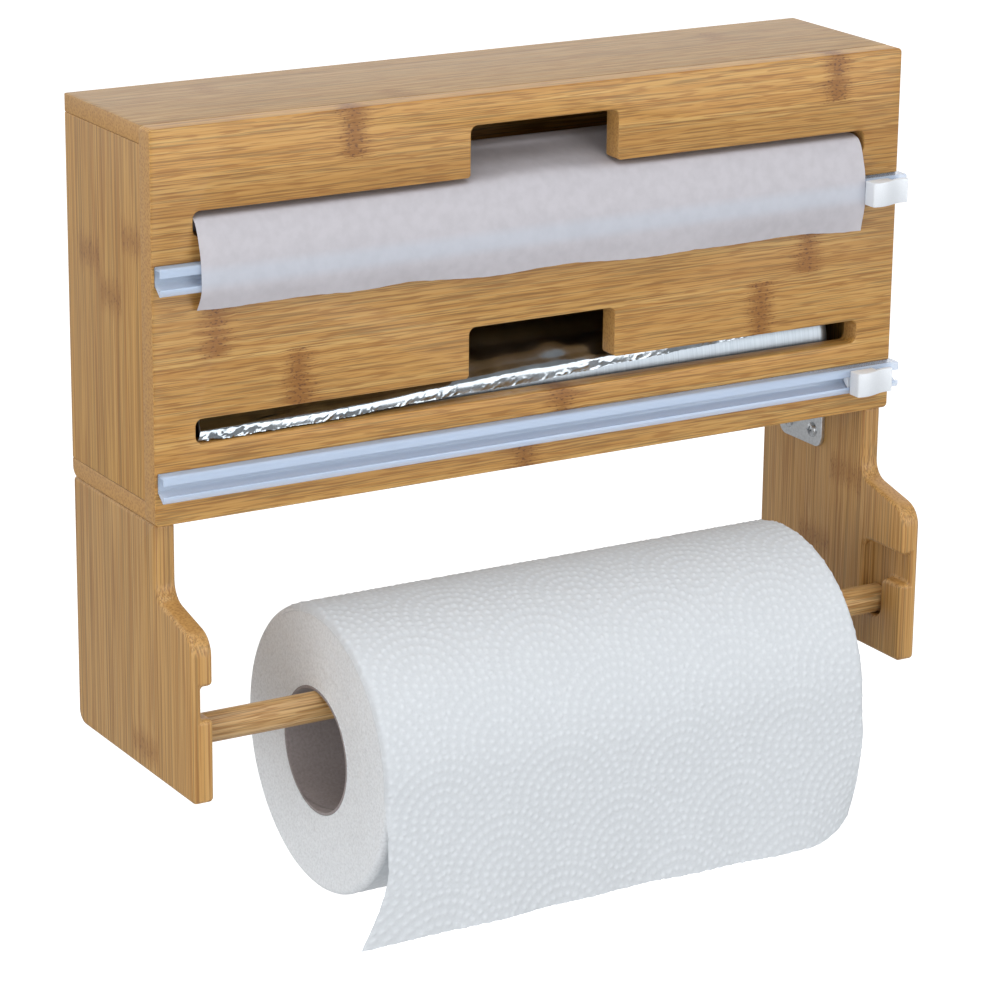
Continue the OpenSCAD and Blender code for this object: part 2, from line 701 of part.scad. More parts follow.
// Side view of the loose foil: off the roll and down into the slot, hanging lower at the left
function foil_path(x) =
    let (top = lower_slot_z + slot_h, rise = hem_skew / 2 * (0.5 + x / foil_l))
    [
        for (a = [92, 104, 116]) off_roll(foil_y, foil_z, foil_r, a),
        [panel_back, top - slot_clear + window_swell(x) / 2],
        [panel_back - panel_t / 2, top - slot_h / 3 + hem_at(x) / 2],
        [panel_back - 0.7 * panel_t + hem_at(x) / 2, lower_slot_z + foil_lift + rise]
    ];

module foil_end() color(foil) sheet(
    function(u, v)
        let (x = (u - 0.5) * foil_l, p = spline(foil_path(x), v))
        [x, p.x, p.y],
    foil_steps.x, foil_steps.y);

module towel_rod() color(bamboo) bar_x([-rod_half, rod_y, rod_z], 2 * rod_half, rod_d);

module towel_core() color(cardboard)
    tube_x(towel_x - towel_l / 2, towel_y, towel_z, towel_l,
        towel_bore + 2 * towel_core_t, towel_bore);

module towel_roll() color(towel_paper)
    tube_x(towel_x - towel_l / 2, towel_y, towel_z, towel_l,
        towel_d, towel_bore + 2 * towel_core_t, towel_edge_r);

// Loose end of the towel: it lies on the roll, hangs from its front and is drawn to a lower left corner
module towel_end() color(towel_paper) sheet(
    function(u, v)
        let (off = towel_r + roll_gap + sheet_t / 2, arc = off * tail_wrap * PI / 180)
        let (s = v * (arc + tail_drop), a = 180 - tail_wrap + s / off * 180 / PI)
        let (hang = max(s - arc, 0), low = hang / tail_drop)
        let (pull = pow(max(1 - u * towel_l / corner_w, 0), 2) * pow(low, 3))
        let (curl = pow(max(1 - (1 - u) * towel_l / curl_w, 0), 2) * pow(low, 2))
        let (x = towel_x + (u - 0.5) * towel_l - tail_corner * pull - curl_in * curl)
        let (wave = tail_wave * low * (1 + sin(360 * u * towel_l / tail_wave_l)))
        hang == 0
            ? [x, towel_y + off * cos(a), towel_z + off * sin(a)]
            : [x, towel_y - off + curl_in * curl - wave, towel_z - hang + curl_up * curl],
    towel_steps.x, towel_steps.y);

module baking_core() color(cardboard)
    tube_x(-baking_l / 2, baking_y, baking_z, baking_l, core_bore + 2 * core_t, core_bore);

module baking_roll() color(baking_paper)
    tube_x(-baking_l / 2, baking_y, baking_z, baking_l, baking_d, core_bore + 2 * core_t);

module foil_core() color(cardboard)
    tube_x(-foil_core_l / 2, foil_y, foil_z, foil_core_l, core_bore + 2 * core_t, core_bore);

module foil_roll() color(foil)
    tube_x(-foil_l / 2, foil_y, foil_z, foil_l, foil_d, core_bore + 2 * core_t);

top_panel();
bottom_panel();
left_side_panel();
right_side_panel();
back_panel();
divider_shelf();
carcass_dowels();
panel_magnets();
locating_pegs();
left_arm();
right_arm();
left_corner_bracket();
right_corner_bracket();
bracket_screws();
foil_end();
front_panel();
strike_discs();
upper_rail();
lower_rail();
rail_tapes();
baking_sheet();
upper_slider();
upper_blade();
lower_slider();
lower_blade();
towel_rod();
towel_end();
towel_roll();
towel_core();
baking_roll();
baking_core();
foil_roll();
foil_core();
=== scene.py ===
import math

import bmesh
import bpy
import numpy as np
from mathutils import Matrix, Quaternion, Vector, noise


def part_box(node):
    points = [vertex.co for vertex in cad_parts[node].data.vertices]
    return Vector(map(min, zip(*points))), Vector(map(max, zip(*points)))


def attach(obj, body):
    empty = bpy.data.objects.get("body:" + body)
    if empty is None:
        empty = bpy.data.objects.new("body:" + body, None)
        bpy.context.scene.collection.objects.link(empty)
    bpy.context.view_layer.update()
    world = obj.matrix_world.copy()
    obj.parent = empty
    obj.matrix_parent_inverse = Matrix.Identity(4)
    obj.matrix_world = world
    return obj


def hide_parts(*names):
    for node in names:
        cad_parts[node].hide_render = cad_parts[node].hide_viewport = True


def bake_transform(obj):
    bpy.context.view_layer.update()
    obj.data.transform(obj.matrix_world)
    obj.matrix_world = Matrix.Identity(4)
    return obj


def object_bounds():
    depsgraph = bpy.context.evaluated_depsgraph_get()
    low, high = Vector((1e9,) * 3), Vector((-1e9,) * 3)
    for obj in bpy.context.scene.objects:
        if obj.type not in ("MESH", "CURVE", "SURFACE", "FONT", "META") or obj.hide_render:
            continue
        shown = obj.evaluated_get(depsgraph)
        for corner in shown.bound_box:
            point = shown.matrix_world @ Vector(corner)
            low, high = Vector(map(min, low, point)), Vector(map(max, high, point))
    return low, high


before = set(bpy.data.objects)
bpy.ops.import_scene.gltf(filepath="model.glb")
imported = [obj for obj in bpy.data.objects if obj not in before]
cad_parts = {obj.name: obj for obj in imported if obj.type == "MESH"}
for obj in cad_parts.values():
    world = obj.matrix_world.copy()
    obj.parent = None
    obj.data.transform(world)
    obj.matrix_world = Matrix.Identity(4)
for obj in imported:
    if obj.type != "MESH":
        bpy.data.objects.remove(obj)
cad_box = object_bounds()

# Camera
# It stands to the left of the dispenser and a little above it, with a long lens.
# Its place, turn and focal length were fitted to the corners of the cabinet.
camera_at = Vector((-0.7902, -1.3653, 0.3272))
yaw = math.radians(-30.921)
pitch = math.radians(17.666)
roll = math.radians(-0.664)
focal_px = 3852.4
picture_px = 1000
sensor_mm = 36
aim = Vector((-math.sin(yaw) * math.cos(pitch), math.cos(yaw) * math.cos(pitch), -math.sin(pitch)))
scene = bpy.context.scene
lens = bpy.data.cameras.new("camera")
lens.sensor_width = sensor_mm
lens.lens = focal_px / picture_px * sensor_mm
camera = bpy.data.objects.new("camera", lens)
camera.location = camera_at
camera.rotation_mode = "QUATERNION"
camera.rotation_quaternion = aim.to_track_quat("-Z", "Y") @ Quaternion((0, 0, 1), -roll)
scene.collection.objects.link(camera)
scene.camera = camera
scene.view_settings.view_transform = "Standard"


# Stage
# A studio with a bright white backdrop behind the dispenser and a dimmer room in front, three soft boxes,
# and a pale floor well below, because the dispenser hangs on a wall.
def srgb(code):
    """An sRGB hex colour as the linear colour that shaders take."""
    parts = [int(code[i:i + 2], 16) / 255 for i in (0, 2, 4)]
    return tuple(p / 12.92 if p <= 0.04045 else ((p + 0.055) / 1.055) ** 2.4 for p in parts) + (1.0,)


def add(tree, kind, inputs=(), stops=(), **settings):
    """Adds a node with its settings. Each input is set to a value, or linked to a socket or to the first
    output of a node. A kind comes without the prefix ShaderNode, and stops are those of a colour ramp."""
    made = tree.nodes.new(kind if "Node" in kind else "ShaderNode" + kind)
    for name, value in settings.items():
        setattr(made, name, value)
    for name, value in dict(inputs).items():
        if isinstance(value, bpy.types.Node):
            value = value.outputs[0]
        if isinstance(value, bpy.types.NodeSocket):
            tree.links.new(value, made.inputs[name])
        else:
            made.inputs[name].default_value = value
    for i, (position, colour) in enumerate(stops):
        elements = made.color_ramp.elements
        if i >= len(elements):
            elements.new(position)
        elements[i].position = position
        elements[i].color = colour
    return made


def bare_material(name):
    """A new material and its emptied node tree."""
    material = bpy.data.materials.new(name)
    material.use_nodes = True
    material.node_tree.nodes.clear()
    return material, material.node_tree


def link(name, mesh):
    """A new object for a mesh, at the origin of the scene."""
    piece = bpy.data.objects.new(name, mesh)
    scene.collection.objects.link(piece)
    return piece


room_light = 0.34
backdrop_light = 1.0
world = bpy.data.worlds.new("white studio")
world.use_nodes = True
scene.world = world
tree = world.node_tree
tree.nodes.clear()
ray = add(tree, "LightPath")
at = add(tree, "TexCoord")
toward = add(tree, "SeparateXYZ", {0: at.outputs["Object"]})
around = add(tree, "MapRange", {"Value": toward.outputs["Y"], "From Min": -0.1, "From Max": 0.4,
             "To Min": room_light, "To Max": backdrop_light}, interpolation_type="SMOOTHSTEP")
glow = add(tree, "Background", {"Color": srgb("FFFFFF"), "Strength": around})
backdrop = add(tree, "Background", {"Color": srgb("FFFFFF"), "Strength": backdrop_light})
surround = add(tree, "MixShader", {0: ray.outputs["Is Camera Ray"], 1: glow, 2: backdrop})
add(tree, "OutputWorld", {"Surface": surround})

floor_drop = 1.0
floor_half = 8.0
floor_glow = 0.8
floor_z = cad_box[0][2] - floor_drop
floor_mesh = bpy.data.meshes.new("floor")
floor_corners = [(x * floor_half, y * floor_half, floor_z) for x, y in ((-1, -1), (1, -1), (1, 1), (-1, 1))]
floor_mesh.from_pydata(floor_corners, [], [(0, 1, 2, 3)])
floor = link("floor", floor_mesh)
pale, tree = bare_material("pale floor paint")
ray = add(tree, "LightPath")
seen = add(tree, "Math", {0: ray.outputs["Is Camera Ray"], 1: floor_glow}, operation="MULTIPLY")
paint = add(tree, "BsdfDiffuse", {"Color": srgb("CFCFCF")})
shine = add(tree, "Emission", {"Color": srgb("FFFFFF"), "Strength": seen})
both = add(tree, "AddShader", {0: paint, 1: shine})
add(tree, "OutputMaterial", {"Surface": both})
floor_mesh.materials.append(pale)

part_middle = (Vector(cad_box[0]) + Vector(cad_box[1])) / 2
# Each soft box: its place from the middle of the dispenser, its width and height, and its power in watts
for name, offset, box_size, watts in (
    ("key box", Vector((0.8, -1.8, 0.34)), (1.7, 1.1), 16),
    ("top box", Vector((-0.3, -0.75, 1.9)), (1.5, 1.5), 18),
    ("left box", Vector((-1.7, -1.1, 0.25)), (1.6, 1.6), 17.5),
):
    lamp = bpy.data.lights.new(name, "AREA")
    lamp.shape = "RECTANGLE"
    lamp.size, lamp.size_y = box_size
    lamp.energy = watts
    soft_box = link(name, lamp)
    soft_box.location = part_middle + offset
    soft_box.rotation_mode = "QUATERNION"
    soft_box.rotation_quaternion = (-offset).to_track_quat("-Z", "Y")


# Cabinet boards
# Top, bottom, two sides, back and a shelf, sawn from glued bamboo strips, sanded and clear lacquered.
# The grain of the lying boards runs along the cabinet, and that of the sides runs upright.
mm = 0.001
board_ease = 0.5 * mm
sharp_angle = math.radians(35)


def hole_planes(shape):
    """A plane through the middle of every loop of sharp edges, as (middle, normal)."""
    sharp = {edge for edge in shape.edges if edge.is_manifold and edge.calc_face_angle() > sharp_angle}
    planes = []
    while sharp:
        loop = [sharp.pop()]
        for edge in loop:
            beside = {other for vert in edge.verts for other in vert.link_edges} & sharp
            sharp -= beside
            loop.extend(beside)
        points = np.array([vert.co for edge in loop for vert in edge.verts])
        low, high = points.min(0), points.max(0)
        planes.append((Vector((low + high) / 2), Vector(np.eye(3)[np.argmax(high - low)])))
    return sorted(planes, key=lambda plane: tuple(plane[0]))


def eased(node, name, radius, steps):
    """A copy of a CAD node's solid with its edges eased, as sanding or moulding leaves them.
    Its flats are first cut through every hole, because a face with a hole in it can't be eased."""
    shape = bmesh.new()
    shape.from_mesh(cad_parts[node].data)
    bmesh.ops.remove_doubles(shape, verts=shape.verts, dist=1e-6)
    for middle, normal in hole_planes(shape):
        every = shape.verts[:] + shape.edges[:] + shape.faces[:]
        cut = bmesh.ops.bisect_plane(shape, geom=every, dist=1e-7, plane_co=middle, plane_no=normal)
        for edge in (part for part in cut["geom_cut"] if isinstance(part, bmesh.types.BMEdge)):
            edge.seam = True
    bmesh.ops.dissolve_limit(shape, angle_limit=math.radians(0.5), verts=shape.verts, edges=shape.edges,
                             delimit={"SEAM"})
    mesh = bpy.data.meshes.new(name)
    shape.to_mesh(mesh)
    shape.free()
    mesh.shade_smooth()
    blank = link(name + "_blank", mesh)
    bevel = blank.modifiers.new("ease", "BEVEL")
    bevel.width = radius
    bevel.segments = steps
    bevel.limit_method = "ANGLE"
    bevel.angle_limit = sharp_angle
    bevel.use_clamp_overlap = False
    bevel.harden_normals = True
    piece = link(name, baked(blank))
    bpy.data.objects.remove(blank)
    return piece


def baked(blank):
    """The mesh that an object's modifiers make of it."""
    graph = bpy.context.evaluated_depsgraph_get()
    graph.update()
    return bpy.data.meshes.new_from_object(blank.evaluated_get(graph), depsgraph=graph)


def settle(piece, material, body, finish, *nodes):
    """Gives a finished piece its material and its body, and hides the CAD nodes that it stands for."""
    piece.data.materials.clear()
    piece.data.materials.append(material)
    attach(piece, body)
    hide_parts(*nodes)


def dress(node, name, radius, steps, material, body, finish):
    """Settles a copy of one CAD node with eased edges in the node's place."""
    settle(eased(node, name, radius, steps), material, body, finish, node)


def bamboo(name, along, across, knots, strip=24.0, first=0.0, tones=("D3A963", "C6934A", "B37E36"),
           stain=0.95, long=1.0):
    """Lacquered bamboo strips with the grain along one axis. Streaks in a light, a middle and a dark tone,
    fine fibres and vessel lines rule it, and a glue line parts the strips, one of them at first. Knots are
    node marks at (along, across), each as wide as its strip, and stain is how far they are darkened. Sizes
    are in mm. The factor long draws out the fibres, for boards cut flat from the canes."""
    light, middle, dark = tones
    material, tree = bare_material(name)
    at = add(tree, "TexCoord")
    in_mm = add(tree, "VectorMath", {0: at.outputs["Object"], 1: (1000, 1000, 1000)}, operation="MULTIPLY")
    axes = add(tree, "SeparateXYZ", {0: in_mm})
    run, rise, deep = (axes.outputs[i] for i in (along, across, 3 - along - across))

    # How far the nearest node mark is: 1 at its ragged ends, and more past the edges of its strip
    spot = add(tree, "CombineXYZ", {0: run, 1: rise})
    half_mark = 8.5
    fade = 1.3
    nearest = None
    for u, v in knots:
        gap = add(tree, "VectorMath", {0: spot, 1: (u, v, 0)}, operation="SUBTRACT")
        gap = add(tree, "VectorMath", {0: gap}, operation="ABSOLUTE")
        gap = add(tree, "VectorMath", {0: gap, 1: (1 / half_mark, 1 / fade, 0),
                  2: (0, 1 - strip / 2 / fade, 0)}, operation="MULTIPLY_ADD")
        past = add(tree, "SeparateXYZ", {0: gap})
        far = add(tree, "Math", {0: past.outputs[0], 1: past.outputs[1]}, operation="MAXIMUM")
        nearest = far if nearest is None else add(tree, "Math", {0: nearest, 1: far}, operation="MINIMUM")

    # The grain runs straight, and sways beside a node
    slow = add(tree, "VectorMath", {0: spot, 1: (1 / 9, 1 / 4, 0)}, operation="MULTIPLY")
    sway = add(tree, "TexNoise", {"Vector": slow, "Scale": 1.0, "Detail": 1.0})
    sway = add(tree, "Math", {0: sway, 1: 0.5}, operation="SUBTRACT")
    amount = add(tree, "MapRange", {"Value": nearest, "From Min": 0.6, "From Max": 3.2,
                 "To Min": 1.4, "To Max": 0.1}, interpolation_type="SMOOTHSTEP")
    swayed = add(tree, "Math", {0: sway, 1: amount, 2: rise}, operation="MULTIPLY_ADD")

    # Every strip comes from another cane, so that its streaks start elsewhere and its tone differs
    count = add(tree, "Math", {0: rise, 1: 1 / strip, 2: -first / strip}, operation="MULTIPLY_ADD")
    number = add(tree, "Math", {0: count}, operation="FLOOR")
    cane = add(tree, "TexWhiteNoise", {"W": number}, noise_dimensions="1D")
    shifted = add(tree, "Math", {0: cane, 1: 900.0, 2: run}, operation="MULTIPLY_ADD")
    grain = add(tree, "CombineXYZ", {0: shifted, 1: swayed, 2: deep})

    def fibres(length, width, detail):
        """Noise drawn out along the grain, with streaks of about that length and width in mm."""
        drawn = add(tree, "VectorMath", {0: grain, 1: (1 / length, 1 / width, 1 / width)},
                    operation="MULTIPLY")
        return add(tree, "TexNoise", {"Vector": drawn, "Scale": 1.0, "Detail": detail, "Roughness": 0.62})

    def darker(colour, amount, value, low, high):
        """The colour times 1 - amount where value is at low, and as it is where value is at high."""
        keep = add(tree, "MapRange", {"Value": value, "From Min": low, "From Max": high,
                   "To Min": 1 - amount}, interpolation_type="SMOOTHSTEP")
        return add(tree, "Mix", {0: 1.0, 6: colour, 7: keep},
                   data_type="RGBA", blend_type="MULTIPLY").outputs[2]

    streak = fibres(220 * long, 1.8, 2)
    fine = fibres(34 * long, 0.55, 1)
    vessel = fibres(13 * long, 0.8, 0)
    fleck = fibres(1.8, 0.8, 1)
    colour = add(tree, "ValToRGB", {"Fac": streak},
                 [(0.24, srgb(dark)), (0.48, srgb(middle)), (0.74, srgb(light))]).outputs[0]
    colour = darker(colour, 0.4, fine, 0.35, 0.52)
    lines = add(tree, "MapRange", {"Value": vessel, "From Min": 0.55, "From Max": 0.66, "To Max": 0.56})
    colour = add(tree, "Mix", {0: lines, 6: colour, 7: srgb("9A6424")}, data_type="RGBA").outputs[2]
    colour = darker(colour, 0.16, cane, 0.0, 1.0)
    joint = add(tree, "Math", {0: count, 1: 0.5}, operation="PINGPONG")
    colour = darker(colour, 0.22, joint, 0.0, 0.35 / strip)

    # A node mark is an orange-brown patch with ragged sides, full of short dark flecks
    uneven = add(tree, "Math", {0: fine, 1: 2.4, 2: nearest}, operation="MULTIPLY_ADD")
    mark = add(tree, "MapRange", {"Value": uneven, "From Min": 1.25, "From Max": 2.35,
               "To Min": 1.0, "To Max": 0.0}, interpolation_type="SMOOTHSTEP")
    patch = add(tree, "Math", {0: mark, 1: stain}, operation="MULTIPLY")
    colour = add(tree, "Mix", {0: patch, 6: colour, 7: srgb("8C5A1A")}, data_type="RGBA").outputs[2]
    dashes = add(tree, "MapRange", {"Value": fleck, "From Min": 0.54, "From Max": 0.66,
                 "To Max": 0.9 * stain}, interpolation_type="SMOOTHSTEP")
    depth = add(tree, "Math", {0: mark, 1: dashes}, operation="MULTIPLY")
    colour = add(tree, "Mix", {0: depth, 6: colour, 7: srgb("5F350E")}, data_type="RGBA").outputs[2]

    # End grain: cut across the canes, browner, with the dark dots of the vessels
    facing = add(tree, "SeparateXYZ", {0: at.outputs["Normal"]})
    end = add(tree, "Math", {0: facing.outputs[along]}, operation="ABSOLUTE")
    end = add(tree, "MapRange", {"Value": end, "From Min": 0.76, "From Max": 0.94},
              interpolation_type="SMOOTHSTEP")
    dots = add(tree, "TexVoronoi", {"Vector": in_mm, "Scale": 0.9})
    cut = add(tree, "ValToRGB", {"Fac": dots},
              [(0.12, srgb("9A6D38")), (0.42, srgb("B18347")), (0.8, srgb("BB8F50"))])
    colour = add(tree, "Mix", {0: end, 6: colour, 7: cut}, data_type="RGBA").outputs[2]

    # The lacquer is smooth over fibres that can still be felt
    height = add(tree, "Math", {0: streak, 1: fine}, operation="ADD")
    ruling = add(tree, "Bump", {"Height": height, "Strength": 0.35, "Distance": 0.12 * mm})
    shader = add(tree, "BsdfPrincipled", {"Base Color": colour, "Roughness": 0.55, "Normal": ruling,
                 "Specular IOR Level": 0.4, "Coat Weight": 0.45, "Coat Roughness": 0.38})
    add(tree, "OutputMaterial", {"Surface": shader})
    return material


X, Y, Z = 0, 1, 2
lying = bamboo("lacquered bamboo lying", X, Y, knots=((-60, -62), (118, -21), (-122, -21)),
               strip=20, first=-10, tones=("C9A470", "BA9257", "A97D46"), stain=0.4)
upright = bamboo("lacquered bamboo upright", Z, Y, knots=((-28, -60), (-54, -40), (-41, -20)),
                 strip=20, first=-10, tones=("D2A45E", "C9984F", "B58040"), stain=0.6, long=4.0)
for node, name, wood in (
    ("top_panel", "top_board", lying),
    ("bottom_panel", "bottom_board", lying),
    ("divider_shelf", "shelf_board", lying),
    ("left_side_panel", "left_board", upright),
    ("right_side_panel", "right_board", upright),
):
    dress(node, name, board_ease, 3, wood, "cabinet", "bamboo")
behind = bamboo("lacquered bamboo back", X, Z, knots=((-90, -13.5), (60, -61.5), (130, -109.5)), first=-1.5)
dress("back_panel", "back_board", board_ease, 3, behind, "cabinet", "bamboo")

# Dowels and pegs
# Turned bamboo pins: eight glued dowels hold the carcass, and four pegs locate the front panel.
# Their ends are chamfered so that they find their holes.
pin_ease = 0.4 * mm
pins = bamboo("turned bamboo pins", Y, Z, knots=((-20, -60),), strip=9)
dress("carcass_dowels", "dowel_pins", pin_ease, 2, pins, "cabinet", "bamboo")
dress("locating_pegs", "peg_pins", pin_ease, 2, pins, "cabinet", "bamboo")


# Panel catches
# Four nickel-plated magnets in the carcass pull on four steel discs in the back of the front panel.
# All are turned, with eased rims, and pressed into their holes.
def dimmed(colour, share):
    """An sRGB hex colour with a share of its light, as a linear colour."""
    return tuple(share * c for c in srgb(colour)[:3]) + (1.0,)


def metal(name, colour, rough, grit):
    """A plated metal with a faint grain: grit is the width in mm of the fine marks that blur its gloss."""
    material, tree = bare_material(name)
    at = add(tree, "TexCoord")
    marks = add(tree, "TexNoise", {"Vector": at.outputs["Object"], "Scale": 1000 / grit, "Detail": 3.0})
    gloss = add(tree, "MapRange", {"Value": marks, "From Min": 0.3, "From Max": 0.7,
                "To Min": rough - 0.08, "To Max": rough + 0.08})
    tint = add(tree, "ValToRGB", {"Fac": marks}, [(0.35, dimmed(colour, 0.86)), (0.6, srgb(colour))])
    uneven = add(tree, "Bump", {"Height": marks, "Strength": 0.15, "Distance": 0.05 * mm})
    shader = add(tree, "BsdfPrincipled", {"Base Color": tint, "Metallic": 1.0,
                 "Roughness": gloss, "Normal": uneven})
    add(tree, "OutputMaterial", {"Surface": shader})
    return material


catch_ease = 0.3 * mm
nickel = metal("nickel plate", "C6C2BA", 0.28, 0.8)
dress("panel_magnets", "magnet_pins", catch_ease, 2, nickel, "cabinet", "steel")
dress("strike_discs", "strike_plates", catch_ease, 2, nickel, "front_panel", "steel")

# Front panel
# One bamboo board, grain lengthwise, with two milled slots, a window over each and a groove for each rail.
# Its node marks lie where the canes of this board had theirs, as (along, up) from the origin.
panel_low, panel_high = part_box("front_panel")
panel_ease = 0.6 * mm
panel_marks = ((-87, 10.5), (142, 10.5), (-148, -61.5), (130, -61.5), (-112, -85.5), (107, -85.5),
               (10, -109.5), (-8, -133.5))
face = bamboo("lacquered bamboo face", X, Z, knots=panel_marks, first=-1.5)
dress("front_panel", "face_board", panel_ease, 4, face, "front_panel", "bamboo")


# Cutter rails
# Two channels extruded in clear plastic, each held in its groove by a strip of white tape.
# Slightly blue in its thickness, glossy, with the ends sawn square.
def clear_plastic(name, tint):
    """Clear extruded styrene: half seen through, glossy, slightly blue, with draw lines along X."""
    material, tree = bare_material(name)
    at = add(tree, "TexCoord")
    drawn = add(tree, "VectorMath", {0: at.outputs["Object"], 1: (4, 900, 900)}, operation="MULTIPLY")
    lines = add(tree, "TexNoise", {"Vector": drawn, "Scale": 1.0})
    gloss = add(tree, "MapRange", {"Value": lines, "To Min": 0.04, "To Max": 0.14})
    waves = add(tree, "Bump", {"Height": lines, "Strength": 0.12, "Distance": 0.1 * mm})
    shader = add(tree, "BsdfPrincipled", {"Base Color": srgb(tint), "Roughness": gloss,
                 "Alpha": 0.5, "Normal": waves})
    add(tree, "OutputMaterial", {"Surface": shader})
    return material


def matt_plastic(name, colour, rough, grain):
    """Moulded or filled plastic with a fine spark-eroded grain, whose width is given in mm."""
    material, tree = bare_material(name)
    at = add(tree, "TexCoord")
    pits = add(tree, "TexNoise", {"Vector": at.outputs["Object"], "Scale": 1000 / grain})
    gloss = add(tree, "MapRange", {"Value": pits, "To Min": rough - 0.07, "To Max": rough + 0.07})
    tint = add(tree, "ValToRGB", {"Fac": pits}, [(0.3, dimmed(colour, 0.95)), (0.6, srgb(colour))])
    uneven = add(tree, "Bump", {"Height": pits, "Strength": 0.1, "Distance": 0.04 * mm})
    shader = add(tree, "BsdfPrincipled", {"Base Color": tint, "Roughness": gloss, "Normal": uneven})
    add(tree, "OutputMaterial", {"Surface": shader})
    return material


rail_ease = 0.2 * mm
tape_ease = 0.1 * mm
styrene = clear_plastic("clear styrene", "D3E4FB")
for level in ("upper", "lower"):
    dress(level + "_rail", level + "_channel", rail_ease, 2, styrene, "front_panel", "clear_plastic")
foam = matt_plastic("white foam tape", "E9EDF2", 0.7, 0.5)
dress("rail_tapes", "tape_strips", tape_ease, 2, foam, "front_panel", "tape")

# Sliders
# A white moulded slider runs on each rail, with a hollow for the thumb and a steel blade across its neck.
# The plastic has the fine grain of its mould, and the blade is ground and held in the moulding.
slider_ease = 0.4 * mm
blade_ease = 0.08 * mm
moulded = matt_plastic("white moulded plastic", "E3E8EE", 0.34, 0.35)
blade_steel = metal("hardened blade steel", "B4B8BC", 0.22, 0.5)
for level in ("upper", "lower"):
    body = level + "_slider"
    dress(body, level + "_cutter", slider_ease, 3, moulded, body, "white_plastic")
    dress(level + "_blade", level + "_edge", blade_ease, 1, blade_steel, body, "steel")

# Arms
# Two bamboo arms, grain upright, sawn to a stepped outline with a milled seat for the rod in each.
# Their edges are well rounded, and the brackets below hold them to the cabinet.
arm_ease = 1.9 * mm
for side, arm_marks in (("left", ((-234, -64),)), ("right", ((-206, -42), (-170, -64)))):
    wood = bamboo("lacquered bamboo " + side + " arm", Z, Y, arm_marks,
                  tones=("CFA467", "C99A57", "B38344"), stain=0.5, long=4.0)
    dress(side + "_arm", side + "_bracket_arm", arm_ease, 5, wood, "cabinet", "bamboo")

# Corner brackets and their screws
# Bent zinc-plated plates join each arm to the cabinet. Their domed screws have a cross recess,
# cut once in the node tree and set on a point for each screw.
bracket_ease = 0.4 * mm
zinc = metal("zinc plate", "D3D6D9", 0.36, 1.2)
for side in ("left", "right"):
    dress(side + "_corner_bracket", side + "_angle_plate", bracket_ease, 3, zinc, "cabinet", "zinc")

screw_head_d = 6.8 * mm
screw_head_h = 1.6 * mm
screw_shank_d = 3.5 * mm
screw_shank_l = 8 * mm
cross_w = 0.9 * mm
cross_l = 3.6 * mm
plate_low, plate_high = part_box("right_corner_bracket")
plate_t = 2 * mm
screw_row = 18.5 * mm
screw_pitch = 18 * mm
plate_y = (plate_low.y + plate_high.y) / 2
places = []
turns = []
for hand in (-1, 1):
    for screw_y in (plate_y - screw_pitch / 2, plate_y + screw_pitch / 2):
        places.append((hand * (plate_high.x - plate_t), screw_y, plate_high.z - screw_row))
        turns.append((0.0, -hand * math.pi / 2, 0.0))
        places.append((hand * (plate_high.x - screw_row), screw_y, plate_high.z - plate_t))
        turns.append((math.pi, 0.0, 0.0))

steel = metal("zinc-plated screw steel", "BFC3C7", 0.3, 0.6)
screws = bpy.data.node_groups.new("screws", "GeometryNodeTree")
screws.interface.new_socket("Points", in_out="INPUT", socket_type="NodeSocketGeometry")
sizes = (("Head diameter", screw_head_d), ("Head height", screw_head_h), ("Shank diameter", screw_shank_d),
         ("Shank length", screw_shank_l), ("Cross width", cross_w), ("Cross length", cross_l))
for name, size in sizes:
    screws.interface.new_socket(name, in_out="INPUT", socket_type="NodeSocketFloat")
screws.interface.new_socket("Screws", in_out="OUTPUT", socket_type="NodeSocketGeometry")
given = add(screws, "NodeGroupInput").outputs
head_r = add(screws, "Math", {0: given["Head diameter"], 1: 0.5}, operation="MULTIPLY")
flat = add(screws, "Math", {0: given["Head height"], 1: head_r}, operation="DIVIDE")
ball = add(screws, "GeometryNodeMeshUVSphere", {"Segments": 32, "Rings": 16, "Radius": head_r})
squash = add(screws, "CombineXYZ", {0: 1.0, 1: 1.0, 2: flat})
dome = add(screws, "GeometryNodeTransform", {"Geometry": ball, "Scale": squash})
block = add(screws, "CombineXYZ", {axis: given["Head diameter"] for axis in (X, Y, Z)})
under = add(screws, "GeometryNodeMeshCube", {"Size": block})
sunk = add(screws, "Math", {0: head_r, 1: -1.0}, operation="MULTIPLY")
drop = add(screws, "CombineXYZ", {2: sunk})
under = add(screws, "GeometryNodeTransform", {"Geometry": under, "Translation": drop})
to_top = add(screws, "CombineXYZ", {2: given["Head height"]})
bars = []
for order in ((0, 1), (1, 0)):
    bar_size = add(screws, "CombineXYZ", {order[0]: given["Cross length"], order[1]: given["Cross width"],
                   2: given["Head height"]})
    bar = add(screws, "GeometryNodeMeshCube", {"Size": bar_size})
    bars.append(add(screws, "GeometryNodeTransform", {"Geometry": bar, "Translation": to_top}))
head = add(screws, "GeometryNodeMeshBoolean", {"Mesh 1": dome}, operation="DIFFERENCE")
for cutter in (under, *bars):
    screws.links.new(cutter.outputs[0], head.inputs["Mesh 2"])
shank_r = add(screws, "Math", {0: given["Shank diameter"], 1: 0.5}, operation="MULTIPLY")
shank = add(screws, "GeometryNodeMeshCylinder", {"Vertices": 24, "Radius": shank_r,
            "Depth": given["Shank length"]})
half_down = add(screws, "Math", {0: given["Shank length"], 1: -0.5}, operation="MULTIPLY")
half_in = add(screws, "CombineXYZ", {2: half_down})
shank = add(screws, "GeometryNodeTransform", {"Geometry": shank, "Translation": half_in})
whole = add(screws, "GeometryNodeJoinGeometry")
for part in (head, shank):
    screws.links.new(part.outputs[0], whole.inputs[0])
